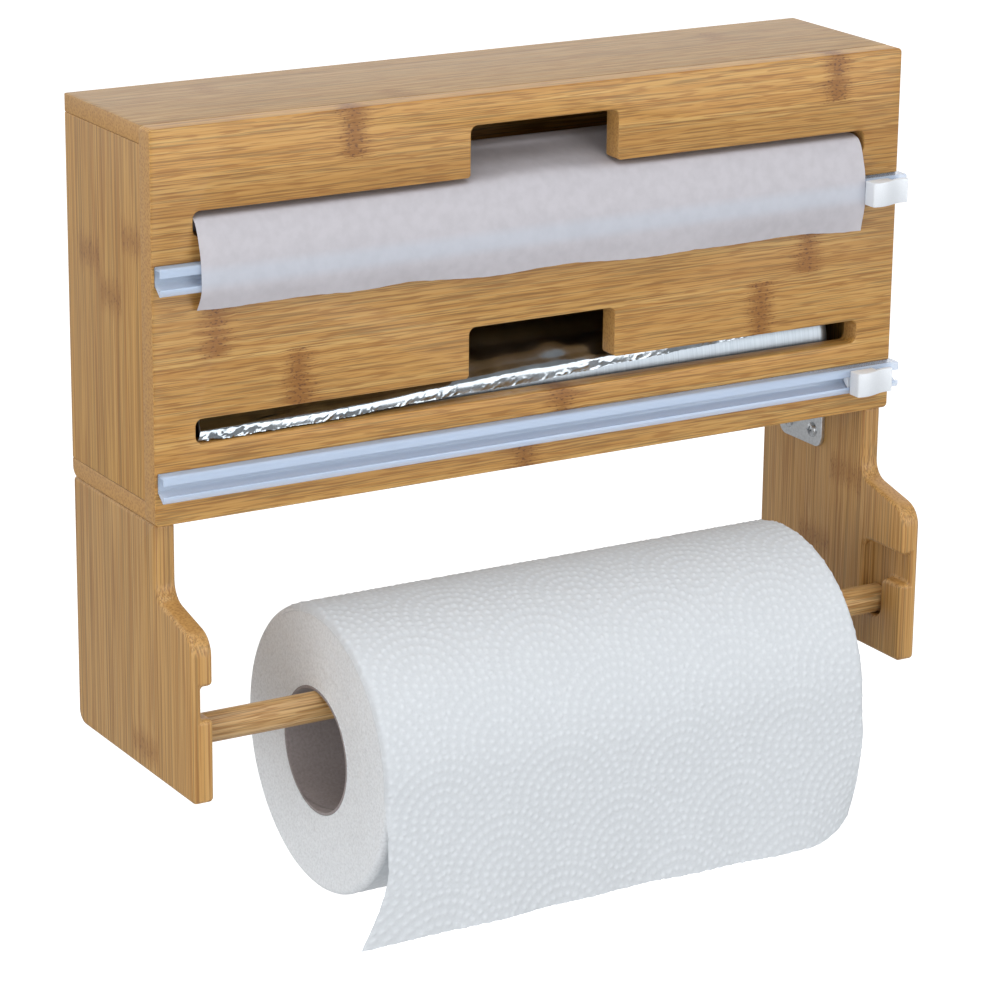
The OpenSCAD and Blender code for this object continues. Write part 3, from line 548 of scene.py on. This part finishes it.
stored = add(screws, "GeometryNodeInputNamedAttribute", {"Name": "turn"}, data_type="FLOAT_VECTOR")
turned = add(screws, "FunctionNodeEulerToRotation", {0: stored.outputs["Attribute"]})
set_out = add(screws, "GeometryNodeInstanceOnPoints", {"Points": given["Points"],
              "Instance": whole, "Rotation": turned})
real = add(screws, "GeometryNodeRealizeInstances", {"Geometry": set_out})
plated = add(screws, "GeometryNodeSetMaterial", {"Geometry": real, "Material": steel})
add(screws, "NodeGroupOutput", {"Screws": plated})

point_mesh = bpy.data.meshes.new("screw_points")
point_mesh.from_pydata(places, [], [])
turn_data = point_mesh.attributes.new("turn", "FLOAT_VECTOR", "POINT")
turn_data.data.foreach_set("vector", [v for t in turns for v in t])
points = link("screw_points", point_mesh)
setter = points.modifiers.new("screws", "NODES")
setter.node_group = screws
identifiers = {item.name: item.identifier for item in screws.interface.items_tree if item.in_out == "INPUT"}
for name, size in sizes:
    setter[identifiers[name]] = size
driven = link("driven_screws", baked(points))
bpy.data.objects.remove(points)
settle(driven, steel, "cabinet", "steel", "bracket_screws")

# Towel rod
# A turned bamboo bar that lies loose in the seats of the two arms.
# Its grain runs along it, and its ends are eased.
rod_ease = 0.6 * mm
rod_wood = bamboo("turned bamboo rod", X, Z, knots=((48, -222),), strip=40,
                  tones=("DDBA86", "CFA66C", "BC9058"))
dress("towel_rod", "turned_rod", rod_ease, 2, rod_wood, "towel_rod", "bamboo_rod")


# Cores
# Cardboard tubes wound from grey board in a spiral, under the towel, the baking paper and the foil.
# Their ends are cut square, and they turn with their rolls.
def axis_of(low, high):
    """The place (y, z) of the axis of a roll or tube that lies along X, from its box."""
    return (low.y + high.y) / 2, (low.z + high.z) / 2


def cardboard(name, colour, pitch, axis):
    """Grey board wound on a mandrel along X: a butt line runs round it in a spiral, and it is flecked."""
    material, tree = bare_material(name)
    at = add(tree, "TexCoord")
    centred = add(tree, "VectorMath", {0: at.outputs["Object"], 1: (0, *axis)}, operation="SUBTRACT")
    axes = add(tree, "SeparateXYZ", {0: centred})
    angle = add(tree, "Math", {0: axes.outputs[2], 1: axes.outputs[1]}, operation="ARCTAN2")
    turns = add(tree, "Math", {0: angle, 1: 1 / math.tau}, operation="MULTIPLY")
    wound = add(tree, "Math", {0: axes.outputs[0], 1: 1 / pitch, 2: turns}, operation="MULTIPLY_ADD")
    seam = add(tree, "Math", {0: wound, 1: 0.5}, operation="PINGPONG")
    line = add(tree, "MapRange", {"Value": seam, "From Max": 0.02, "To Min": 0.72})
    pulp = add(tree, "TexNoise", {"Vector": at.outputs["Object"], "Scale": 900.0, "Detail": 4.0})
    tone = add(tree, "ValToRGB", {"Fac": pulp}, [(0.3, dimmed(colour, 0.8)), (0.65, srgb(colour))])
    tint = add(tree, "Mix", {0: 1.0, 6: tone, 7: line}, data_type="RGBA", blend_type="MULTIPLY")
    rough = add(tree, "Bump", {"Height": pulp, "Strength": 0.3, "Distance": 0.1 * mm})
    shader = add(tree, "BsdfPrincipled", {"Base Color": tint.outputs[2], "Roughness": 0.88,
                 "Normal": rough})
    add(tree, "OutputMaterial", {"Surface": shader})
    return material


core_ease = 0.25 * mm
core_pitch = 60 * mm
for kind, shade in (("towel", "9C9494"), ("baking", "B5A48E"), ("foil", "B5A48E")):
    board = cardboard(kind + " core board", shade, core_pitch, axis_of(*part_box(kind + "_core")))
    dress(kind + "_core", kind + "_tube", core_ease, 2, board, kind + "_roll", "cardboard")


# Baking paper
# Silicone-coated paper off the upper roll: it passes through the slot, over the rail and hangs in front.
# It is thin, and a cooler band is painted into its colour where it lies on the rail, for the rail showing
# through.
def spline(points, steps):
    """A smooth curve through points, each an array of (y, z) for every place along the roll."""
    points = np.asarray(points, float)
    last = len(points) - 1
    rows = []
    for t in np.linspace(0, last, steps + 1):
        i = min(int(t), last - 1)
        s = t - i
        a, b, c, d = points[max(i - 1, 0)], points[i], points[i + 1], points[min(i + 2, last)]
        rows.append(b + 0.5 * s * (c - a + s * (2 * a - 5 * b + 4 * c - d + s * (3 * b - a - 3 * c + d))))
    return np.array(rows)


def lattice(name, grid, close=False, flip=False):
    """A mesh of four-sided faces over a grid of points, closed round its second direction if asked."""
    rows, columns = grid.shape[:2]
    mesh = bpy.data.meshes.new(name)
    index = np.arange(rows * columns).reshape(rows, columns)
    if close:
        index = np.concatenate([index, index[:, :1]], 1)
    corners = [index[:-1, :-1], index[:-1, 1:], index[1:, 1:], index[1:, :-1]]
    if flip:
        corners.reverse()
    quads = np.stack(corners, -1).reshape(-1, 4)
    mesh.from_pydata(grid.reshape(-1, 3).tolist(), [], quads.tolist())
    mesh.shade_smooth()
    return link(name, mesh)


def ragged(count, seed, reach):
    """Smooth random heights from -1 to 1 along an edge, with bumps about reach samples long."""
    raw = np.random.default_rng(seed).standard_normal(count + 4 * reach)
    kernel = np.hanning(2 * reach + 1)
    soft = np.convolve(raw, kernel / kernel.sum(), "same")[2 * reach:2 * reach + count]
    return soft / np.abs(soft).max()


def paper(name, colour, through, gloss):
    """Thin coated paper: pulp clouds and faint press lines, with some light let through. A cooler tint is
    painted where a vertex attribute says that the rail shows through.
    """
    material, tree = bare_material(name)
    at = add(tree, "TexCoord")
    cloud = add(tree, "TexNoise", {"Vector": at.outputs["Object"], "Scale": 220.0, "Detail": 6.0})
    tone = add(tree, "ValToRGB", {"Fac": cloud}, [(0.34, dimmed(colour, 0.92)), (0.62, srgb(colour))])
    # Painted show-through: the rail behind the paper is painted in as a cooler tint
    painted_show_through = add(tree, "Attribute", attribute_name="painted_show_through")
    tint = add(tree, "Mix", {0: painted_show_through.outputs["Fac"], 6: tone, 7: srgb("C9D8E8")}, data_type="RGBA")
    crease = add(tree, "Bump", {"Height": cloud, "Strength": 0.2, "Distance": 0.15 * mm})
    shader = add(tree, "BsdfPrincipled", {"Base Color": tint.outputs[2], "Roughness": gloss,
                 "Normal": crease})
    lit = add(tree, "BsdfTranslucent", {"Color": srgb(colour)})
    thin = add(tree, "MixShader", {0: through, 1: shader, 2: lit})
    add(tree, "OutputMaterial", {"Surface": thin})
    return material


slot_up = 31 * mm
slot_low = panel_low.z + slot_up
slot_h = 10 * mm
window_w = 69 * mm
station_pitch = 82.5 * mm
slot_clear = 1.0 * mm
sheet_gap = 0.9 * mm


def off_roll(low, high, degrees):
    """The point (y, z) of a sheet that leaves a roll at that turn from the back."""
    radius = (high.z - low.z) / 2 + sheet_gap
    turn = math.radians(degrees)
    axis_y, axis_z = axis_of(low, high)
    return np.array([axis_y + radius * math.cos(turn), axis_z + radius * math.sin(turn)])


def across(y, z, x):
    """One (y, z) for every place x along the roll, from numbers or arrays."""
    return np.stack([y + 0 * x, z + 0 * x], -1)


def keep_values(piece, name, values):
    """Stores a number on each vertex of a piece, for its material."""
    kept = piece.data.attributes.new(name, "FLOAT", "POINT")
    kept.data.foreach_set("value", np.ascontiguousarray(values, np.float32).reshape(-1))


baking_low, baking_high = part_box("baking_roll")
rail_low, rail_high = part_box("upper_rail")
baking_fall = 30 * mm
baking_step = 0.8 * mm
hem_skew = 4 * mm
hem_wave = 0.9 * mm
hem_fray = 0.2 * mm
lean_back = 2.6 * mm
lean_wave = 0.9 * mm
corner_back = 2.4 * mm
corner_reach = 25 * mm
paper_shift = -1.2 * mm
paper_rows = 110
slot_row = 60
bulge_h = 2.5 * mm
rail_off = 0.7 * mm
cockle_h = 0.25 * mm
paper_curl_w = 9 * mm
paper_curl_h = 1.2 * mm
rim_fade = 0.35
painted_rail_show = 0.34
paper_w = baking_high.x - baking_low.x
paper_x = np.linspace(baking_low.x, baking_high.x, round(paper_w / baking_step) + 1) + paper_shift
bulge = bulge_h * np.exp(-(2.2 * paper_x / window_w) ** 2)
slot_top = slot_low + station_pitch + slot_h
over_rail = rail_low.y - rail_off
hem = slot_low + station_pitch - baking_fall - hem_skew * paper_x / paper_w
hem = hem + hem_wave * ragged(len(paper_x), 3, 30) + hem_fray * ragged(len(paper_x), 4, 4)
lean = lean_back + lean_wave * ragged(len(paper_x), 5, 45)
lean = lean + corner_back * np.clip(1 - (paper_x - paper_x[0]) / corner_reach, 0, 1) ** 2
route = [across(*off_roll(baking_low, baking_high, turn), paper_x) for turn in (96, 108, 120)]
route += [
    across(panel_high.y, slot_top - slot_clear + bulge, paper_x),
    across(panel_low.y, slot_top - 0.36 * slot_h + bulge / 2, paper_x),
    across((panel_low.y + 3 * over_rail) / 4, (slot_top + 2 * rail_high.z) / 3, paper_x),
    across(over_rail, rail_high.z - 1 * mm, paper_x),
    across(over_rail, rail_low.z, paper_x),
    across(over_rail + lean, hem, paper_x),
]
paper_line = spline(route, paper_rows)
paper_along = np.broadcast_to(paper_x[:, None], (*paper_line.shape[:2], 1))
paper_grid = np.concatenate([paper_along, paper_line], 2)
# Faint cockles run down the hanging paper, and none where it leaves the roll
fall = np.linspace(0, 1, len(paper_grid))[:, None]
cockles = ragged(len(paper_x), 6, 14) + 0.6 * ragged(len(paper_x), 7, 40)
paper_grid[:, :, 1] += cockle_h * fall ** 2 * cockles[None, :]
# Below the rail the right corner curls forward by a millimetre or so
corner = np.clip(1 - (paper_x[-1] - paper_x) / paper_curl_w, 0, 1)[None, :] ** 2
paper_grid[:, :, 1] -= paper_curl_h * corner * fall ** 12
drape = lattice("baking_drape", paper_grid, flip=True)
# A cooler band is painted on the rows that hang before the rail, for the rail showing through, most of all
# at the middle of its height
outside = np.arange(len(paper_grid))[:, None] > slot_row
up_rail = (paper_grid[:, :, 2] - rail_low.z) / (rail_high.z - rail_low.z)
from_rim = np.clip(np.minimum(up_rail, 1 - up_rail) / rim_fade, 0, 1)
keep_values(drape, "painted_show_through", from_rim * outside * painted_rail_show)
greaseproof = paper("coated baking paper", "CCCAD1", 0.15, 0.5)
drape.data.materials.append(greaseproof)
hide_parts("baking_sheet")
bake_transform(drape)


# Rolls in the cabinet
# The baking paper and the foil are wound on their cores, which lie loose in the cabinet.
# The layers show as fine rings on the ends.
def revolve(name, along, radius, axis, angle):
    """A closed surface turned about an axis along X. Its rows lie at along, and at radius from the axis."""
    rings = np.broadcast_arrays(along, axis[0] + radius * np.cos(angle), axis[1] + radius * np.sin(angle))
    return lattice(name, np.stack(rings, -1), close=True)


core_gap = 0.05 * mm


def wound_roll(node, name, rings, ripple, seed):
    """A wound roll: its ends are stepped in fine rings, and its surface is a little uneven."""
    low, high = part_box(node)
    core_low, core_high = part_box(node.replace("_roll", "_core"))
    outer = (high.z - low.z) / 2
    inner = (core_high.z - core_low.z) / 2 + core_gap
    random = np.random.default_rng(seed)
    radii = np.linspace(inner, outer, rings)
    step = np.abs(ripple * random.standard_normal(rings))
    length = np.linspace(low.x, high.x, 90)[1:-1]
    uneven = 0.05 * mm * (ragged(len(length), seed + 1, 6) - 1)
    along = np.concatenate([low.x + step, length, (high.x - step)[::-1], [low.x + step[0]]])
    radius = np.concatenate([radii, outer + uneven, radii[::-1], [inner]])
    angle = np.linspace(0, math.tau, 144, endpoint=False)
    return revolve(name, along[:, None], radius[:, None], axis_of(low, high), angle)


def foil_metal(name, dark, light, rough, fold, grain):
    """Household aluminium foil between two tones, with soft dents, fold mm wide, and a grain of its own,
    given as its repeats in a metre along X, Y and Z."""
    material, tree = bare_material(name)
    at = add(tree, "TexCoord")
    rolled = add(tree, "VectorMath", {0: at.outputs["Object"], 1: grain}, operation="MULTIPLY")
    lines = add(tree, "TexNoise", {"Vector": rolled, "Scale": 1.0, "Detail": 3.0})
    dents = add(tree, "TexNoise", {"Vector": at.outputs["Object"], "Scale": 1000 / fold, "Detail": 3.0})
    gloss = add(tree, "MapRange", {"Value": lines, "To Min": rough - 0.05, "To Max": rough + 0.08})
    tint = add(tree, "ValToRGB", {"Fac": lines}, [(0.3, srgb(dark)), (0.65, srgb(light))])
    height = add(tree, "Math", {0: lines, 1: 0.2, 2: dents}, operation="MULTIPLY_ADD")
    uneven = add(tree, "Bump", {"Height": height, "Strength": 0.25, "Distance": 0.3 * mm})
    shader = add(tree, "BsdfPrincipled", {"Base Color": tint, "Metallic": 1.0,
                 "Roughness": gloss, "Normal": uneven})
    add(tree, "OutputMaterial", {"Surface": shader})
    return material


baking_wound = wound_roll("baking_roll", "baking_winding", 28, 0.15 * mm, 11)
settle(baking_wound, greaseproof, "baking_roll", "baking_paper", "baking_roll")
smooth_foil = foil_metal("rolled aluminium foil", "9CA5AE", "ADB6BE", 0.4, 9, (1500, 25, 25))
foil_wound = wound_roll("foil_roll", "foil_winding", 34, 0.12 * mm, 12)
settle(foil_wound, smooth_foil, "foil_roll", "foil", "foil_roll")

# Foil end
# The loose end of the foil lies on the roll at the right, and at the left it is pulled out over the floor
# of the slot. Its torn edge is crumpled and climbs from the floor of the slot to its top.
foil_low, foil_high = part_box("foil_roll")
foil_step = 0.5 * mm
foil_rows = 84
foil_off = 0.5 * mm
tear_h = 0.8 * mm
crumple_h = 0.7 * mm
grip_h = 3.5 * mm
askew_w = 5.5 * mm
folds_per_m = 240
foil_w = foil_high.x - foil_low.x
foil_x = np.linspace(foil_low.x, foil_high.x, round(foil_w / foil_step) + 1)
share = (foil_x - foil_low.x) / foil_w
foil_centre = np.array(axis_of(foil_low, foil_high))
foil_r = (foil_high.z - foil_low.z) / 2 + foil_off
teeth = 0.6 * ragged(len(foil_x), 21, 24) + 0.4 * ragged(len(foil_x), 22, 2)


def on_foil(degrees):
    """Points (y, z) on the outer layer of the foil, at each turn from the back."""
    turn = np.radians(degrees + 0 * foil_x)
    return foil_centre + foil_r * np.stack([np.cos(turn), np.sin(turn)], -1)


torn_turn = np.interp(share, [0.5, 0.86, 1.0], [175.5, 162, 156])
on_top = [on_foil(turn) for turn in (80, 96, 112, 126)]
# The end springs off the roll, lies straight along its slope there, and turns down in a lip
off_turn = np.minimum(140, torn_turn - 14)
lip_l = mm * np.interp(share, [0.5, 0.86, 1.0], [4.5, 3.0, 2.4])[:, None]
off_slope = np.stack([-np.sin(np.radians(off_turn)), np.cos(np.radians(off_turn))], -1)
off_l = foil_r * np.radians(torn_turn - off_turn)[:, None] - lip_l
wrapped = on_top + [on_foil(off_turn) + way * off_l * off_slope for way in (0, 1 / 2, 1)]
wrapped.append(wrapped[-1] + lip_l * np.array([-0.1, -1.0]))
pulled = on_top + [
    across(panel_high.y + 0.5 * mm, slot_low + slot_h - 1.6 * mm, foil_x),
    across(panel_high.y - 3 * mm, slot_low + 0.62 * slot_h, foil_x),
    across(panel_low.y + 3 * mm, slot_low + 0.42 * slot_h, foil_x),
    across(panel_low.y + 2.2 * mm, slot_low + 0.5 * mm, foil_x),
]
to_roll = np.clip((share - 0.12) / 0.4, 0, 1)
to_roll = (to_roll * to_roll * (3 - 2 * to_roll))[None, :, None]
foil_line = spline((1 - to_roll) * np.array(pulled) + to_roll * np.array(wrapped), foil_rows)
foil_down = np.linspace(0, 1, foil_rows + 1)
# The teeth of the tear lengthen or shorten only the last rows, along the sheet's own slope
slope = foil_line[-1] - foil_line[-4]
slope /= np.linalg.norm(slope, axis=1)[:, None]
last_rows = np.clip((foil_down - 0.94) / 0.06, 0, 1)[:, None, None]
foil_line += tear_h * last_rows * teeth[None, :, None] * slope[None]
# Crumples grow toward the torn edge, and toward the left where it was pulled
crumple = np.interp(foil_down, [0, 0.5, 0.82, 0.9, 1], [0.0, 0.02, 0.06, 0.45, 0.9])[:, None]
crumple = crumple * np.interp(share, [0, 0.25, 0.5, 1], [1.2, 0.9, 0.55, 0.5])[None, :] * mm
soft = crumple_h * np.interp(foil_down, [0.2, 0.45, 0.8, 0.9, 1], [0, 1, 1, 0.4, 0.3])
outward = foil_line - foil_centre
outward /= np.linalg.norm(outward, axis=2)[:, :, None]
for row, column in np.ndindex(crumple.shape):
    at = Vector((foil_x[column], *foil_line[row, column])) * folds_per_m
    fold = noise.ridged_multi_fractal(at, 0.9, 2.2, 3, 0.9, 2.0)
    broad = noise.noise(at * 0.35)
    push = crumple[row, column] * max(0.7 * fold + 0.8 * broad - 0.4, 0) + soft[row] * (0.5 + broad)
    foil_line[row, column] += outward[row, column] * push
# A fold runs in from the left end, where the sheet was gripped to be torn
bent = (foil_down[:, None] - np.interp(share, [0, 0.06, 0.12], [0.84, 0.82, 0.75])[None, :]) / 0.012
bent = 0.5 * (1 + np.tanh(bent)) * np.clip((0.13 - share) / 0.03, 0, 1)[None, :] * (1 - foil_down[:, None])
foil_line += grip_h * bent[:, :, None] * outward
# It was pulled askew, so that its left corner lies nearer to the end of the slot
askew = foil_x[None, :] - askew_w * np.clip((foil_down[:, None] - 0.5) / 0.5, 0, 1) * (1 - share[None, :])
foil_sheet = lattice("foil_lip", np.concatenate([askew[:, :, None], foil_line], 2), flip=True)
crinkled = foil_metal("crinkled aluminium foil", "9CA4AB", "B3BAC0", 0.17, 14, (80, 80, 80))
settle(foil_sheet, crinkled, "cabinet", "foil", "foil_end")

# Towel roll
# Two-ply tissue wound on its core. Its embossing is rows of dots on the arcs of overlapping fans.
# The layers show as soft rings on the ends, and the edges are rounded by handling.
fan_w = 56 * mm
fan_h = 28 * mm
ring_pitch = 4.4 * mm
dot_pitch = 3.4 * mm
dot_r = 0.95 * mm
towel_low, towel_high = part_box("towel_roll")
towel_core_low, towel_core_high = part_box("towel_core")
towel_y, towel_z = axis_of(towel_low, towel_high)
towel_r = (towel_high.z - towel_low.z) / 2
towel_edge = 3 * mm
roll_emboss = 0.2 * mm
layer_h = 0.16 * mm
fuzz_h = 0.22 * mm


def fans(across_m, down_m):
    """Height from 0 to 1 of the embossed dots at each place across and down the tissue."""
    height = np.zeros(np.broadcast(across_m, down_m).shape)
    taken = np.zeros(height.shape, bool)
    first = int(np.floor(down_m.min() / fan_h)) - 1
    last = int(np.ceil(down_m.max() / fan_h)) + 1
    for row in range(last, first - 1, -1):
        stagger = 0.5 * fan_w * (row % 2)
        dx = (across_m - stagger + 0.5 * fan_w) % fan_w - 0.5 * fan_w
        dy = row * fan_h - down_m
        far = np.hypot(dx, dy)
        here = (far < 0.5 * fan_w * 1.001) & ~taken
        ring = np.clip(np.round(far / ring_pitch), 0, 6)
        ring_r = ring * ring_pitch
        dots = np.maximum(np.round(math.tau * ring_r / dot_pitch), 1)
        turn = np.arctan2(dy, dx) / math.tau * dots + 0.25 * ring
        beside = (turn - np.round(turn)) / dots * math.tau * ring_r
        dot = np.exp(-((far - ring_r) ** 2 + beside ** 2) / dot_r ** 2)
        height = np.where(here, dot, height)
        taken |= here
    return height


def tissue(name):
    """Bleached tissue: soft white with a faint blue brightener, fluffy fibres and no gloss. The raised dots
    are whiter, partly because the plies part under them and partly as a painted highlight on the emboss,
    and the fluffy cut ends are whitest, partly as painted light on their shaded faces."""
    material, tree = bare_material(name)
    at = add(tree, "TexCoord")
    fluff = add(tree, "TexNoise", {"Vector": at.outputs["Object"], "Scale": 900.0, "Detail": 4.0})
    cloud = add(tree, "TexNoise", {"Vector": at.outputs["Object"], "Scale": 90.0})
    raised = add(tree, "Attribute", attribute_name="raised")
    # The raised dots and the cut ends are painted whiter, partly as painted light
    plies_and_painted_light = add(tree, "Math", {0: cloud, 1: 0.25, 2: raised.outputs["Fac"]}, operation="MULTIPLY_ADD")
    tone = add(tree, "ValToRGB", {"Fac": plies_and_painted_light},
               [(0.1, srgb("CED3D8")), (0.75, srgb("DADFE4")), (1.0, srgb("E6EAEE"))])
    matted = add(tree, "MapRange", {"Value": raised.outputs["Fac"], "From Min": 0.7, "To Min": 0.95,
                 "To Max": 0.84})
    shade = add(tree, "MapRange", {"Value": fluff, "From Min": 0.3, "From Max": 0.6, "To Min": matted})
    tint = add(tree, "Mix", {0: 1.0, 6: tone, 7: shade}, data_type="RGBA", blend_type="MULTIPLY")
    nap = add(tree, "Bump", {"Height": fluff, "Strength": 0.22, "Distance": 0.12 * mm})
    shader = add(tree, "BsdfPrincipled", {"Base Color": tint.outputs[2], "Roughness": 0.95,
                 "Normal": nap, "Sheen Weight": 0.15, "Sheen Roughness": 0.6})
    add(tree, "OutputMaterial", {"Surface": shader})
    return material


# How much whiter a raised dot is painted, partly for its parted plies and partly as a painted highlight,
# where 1 is a cut end
dot_part_and_highlight = 0.65
soft_white = tissue("embossed tissue")
towel_bore = (towel_core_high.z - towel_core_low.z) / 2 + core_gap
random = np.random.default_rng(31)
radii = np.linspace(towel_bore, towel_r - towel_edge, 34)
bend = np.linspace(0, math.pi / 2, 6)[1:]
angle = np.linspace(0, math.tau, 360, endpoint=False)
length = np.linspace(towel_low.x + towel_edge, towel_high.x - towel_edge, 190)[1:-1]
layers = layer_h * np.abs(random.standard_normal(len(radii)))
rounding = towel_edge * (1 - np.sin(np.pi / 2 - bend))
left_along = np.concatenate([towel_low.x + layers, towel_low.x + rounding])
left_radius = np.concatenate([radii, towel_r - towel_edge + towel_edge * np.sin(bend)])
right_along = towel_low.x + towel_high.x - left_along[::-1]
along = np.concatenate([left_along, length, right_along, [left_along[0]]])
radius = np.concatenate([left_radius, np.full(len(length), towel_r), left_radius[::-1], [towel_bore]])
spread = np.zeros((len(along), len(angle)))
body_rows = slice(len(left_along), len(left_along) + len(length))
spread[body_rows] = roll_emboss * (fans(length[:, None], -angle[None, :] * towel_r) - 1)
# The ends are fuzzy: the layers stand out by uneven amounts round the roll
fuzz = np.zeros_like(spread)
fuzz[:len(radii)] = fuzz_h * np.abs(random.standard_normal((len(radii), len(angle))))
fuzz[-len(radii) - 1:-1] = -fuzz[:len(radii)][::-1]
winding = revolve("towel_winding", along[:, None] + fuzz, radius[:, None] + spread,
                  (towel_y, towel_z), angle)
parted_and_painted_light = np.ones_like(spread)
parted_and_painted_light[body_rows] = dot_part_and_highlight * (spread[body_rows] / roll_emboss + 1)
keep_values(winding, "raised", parted_and_painted_light)
settle(winding, soft_white, "towel_roll", "towel_paper", "towel_roll")

# Towel end
# The outer sheet of the towel lies on the roll, comes over its front and hangs free.
# Its lower left corner is drawn out where it was torn, and its lower right corner curls.
tail_drop = 61 * mm
tail_corner = 13 * mm
corner_w = 36 * mm
curl_w = 28 * mm
curl_in = 4.5 * mm
curl_up = 9 * mm
start_turn = math.radians(60)
sheet_step = 0.68 * mm
emboss = 0.5 * mm
lay = towel_r + 0.45 * mm
start_l = 15 * mm
sway_h = 1.2 * mm
ripple_h = 0.5 * mm
tail_torn = 0.35 * mm
arc = lay * (math.pi - start_turn)
tail_down = np.linspace(0, arc + tail_drop, round((arc + tail_drop) / sheet_step) + 1)[:, None]
towel_w = towel_high.x - towel_low.x
tail_x = np.linspace(towel_low.x, towel_high.x, round(towel_w / sheet_step) + 1)[None, :]
u = (tail_x - towel_low.x) / towel_w
hang = np.maximum(tail_down - arc, 0)
fallen = hang / tail_drop
tail_turn = np.minimum(start_turn + tail_down / lay, math.pi)
from_left = tail_x - towel_low.x
from_right = towel_high.x - tail_x
# Where it lies on the roll the sheet follows the roll's rounded edges, and it hangs straight below
near = np.clip(1 - np.minimum(from_left, from_right) / towel_edge, 0, 1)
sink = towel_edge * (1 - np.sqrt(1 - near ** 2)) * (1 - np.clip(4 * fallen, 0, 1))
dots = fans(tail_x, tail_down)
puff = emboss * dots * np.clip(tail_down / start_l, 0, 1)
# At its start it comes out from under the roll's own surface
reach = towel_r + (lay - towel_r) * np.clip(1.2 * tail_down / start_l - 0.2, -0.2, 1) - sink + puff
pull = np.clip(1 - from_left / corner_w, 0, 1) ** 2 * np.clip((fallen - 0.5) / 0.5, 0, 1) ** 1.5
curl = np.clip(1 - from_right / curl_w, 0, 1) ** 2 * fallen ** 2
sway = sway_h * fallen * (1 + np.sin(8.7 * u + 0.4)) + ripple_h * fallen ** 2 * np.sin(31 * u + 1.2)
torn = tail_torn * ragged(tail_x.size, 41, 2)[None, :] * fallen ** 8
tail = np.stack(np.broadcast_arrays(
    tail_x - tail_corner * pull - curl_in * curl,
    towel_y + reach * np.cos(tail_turn) + curl_in * curl - sway,
    np.where(hang > 0, towel_z - hang + curl_up * curl + torn, towel_z + reach * np.sin(tail_turn)),
), -1)
loose_sheet = lattice("towel_tail", tail, flip=True)
# The dots of the loose sheet are painted whiter too, partly as a painted highlight
keep_values(loose_sheet, "raised", dot_part_and_highlight * dots)
settle(loose_sheet, soft_white, "towel_rod", "towel_paper", "towel_end")
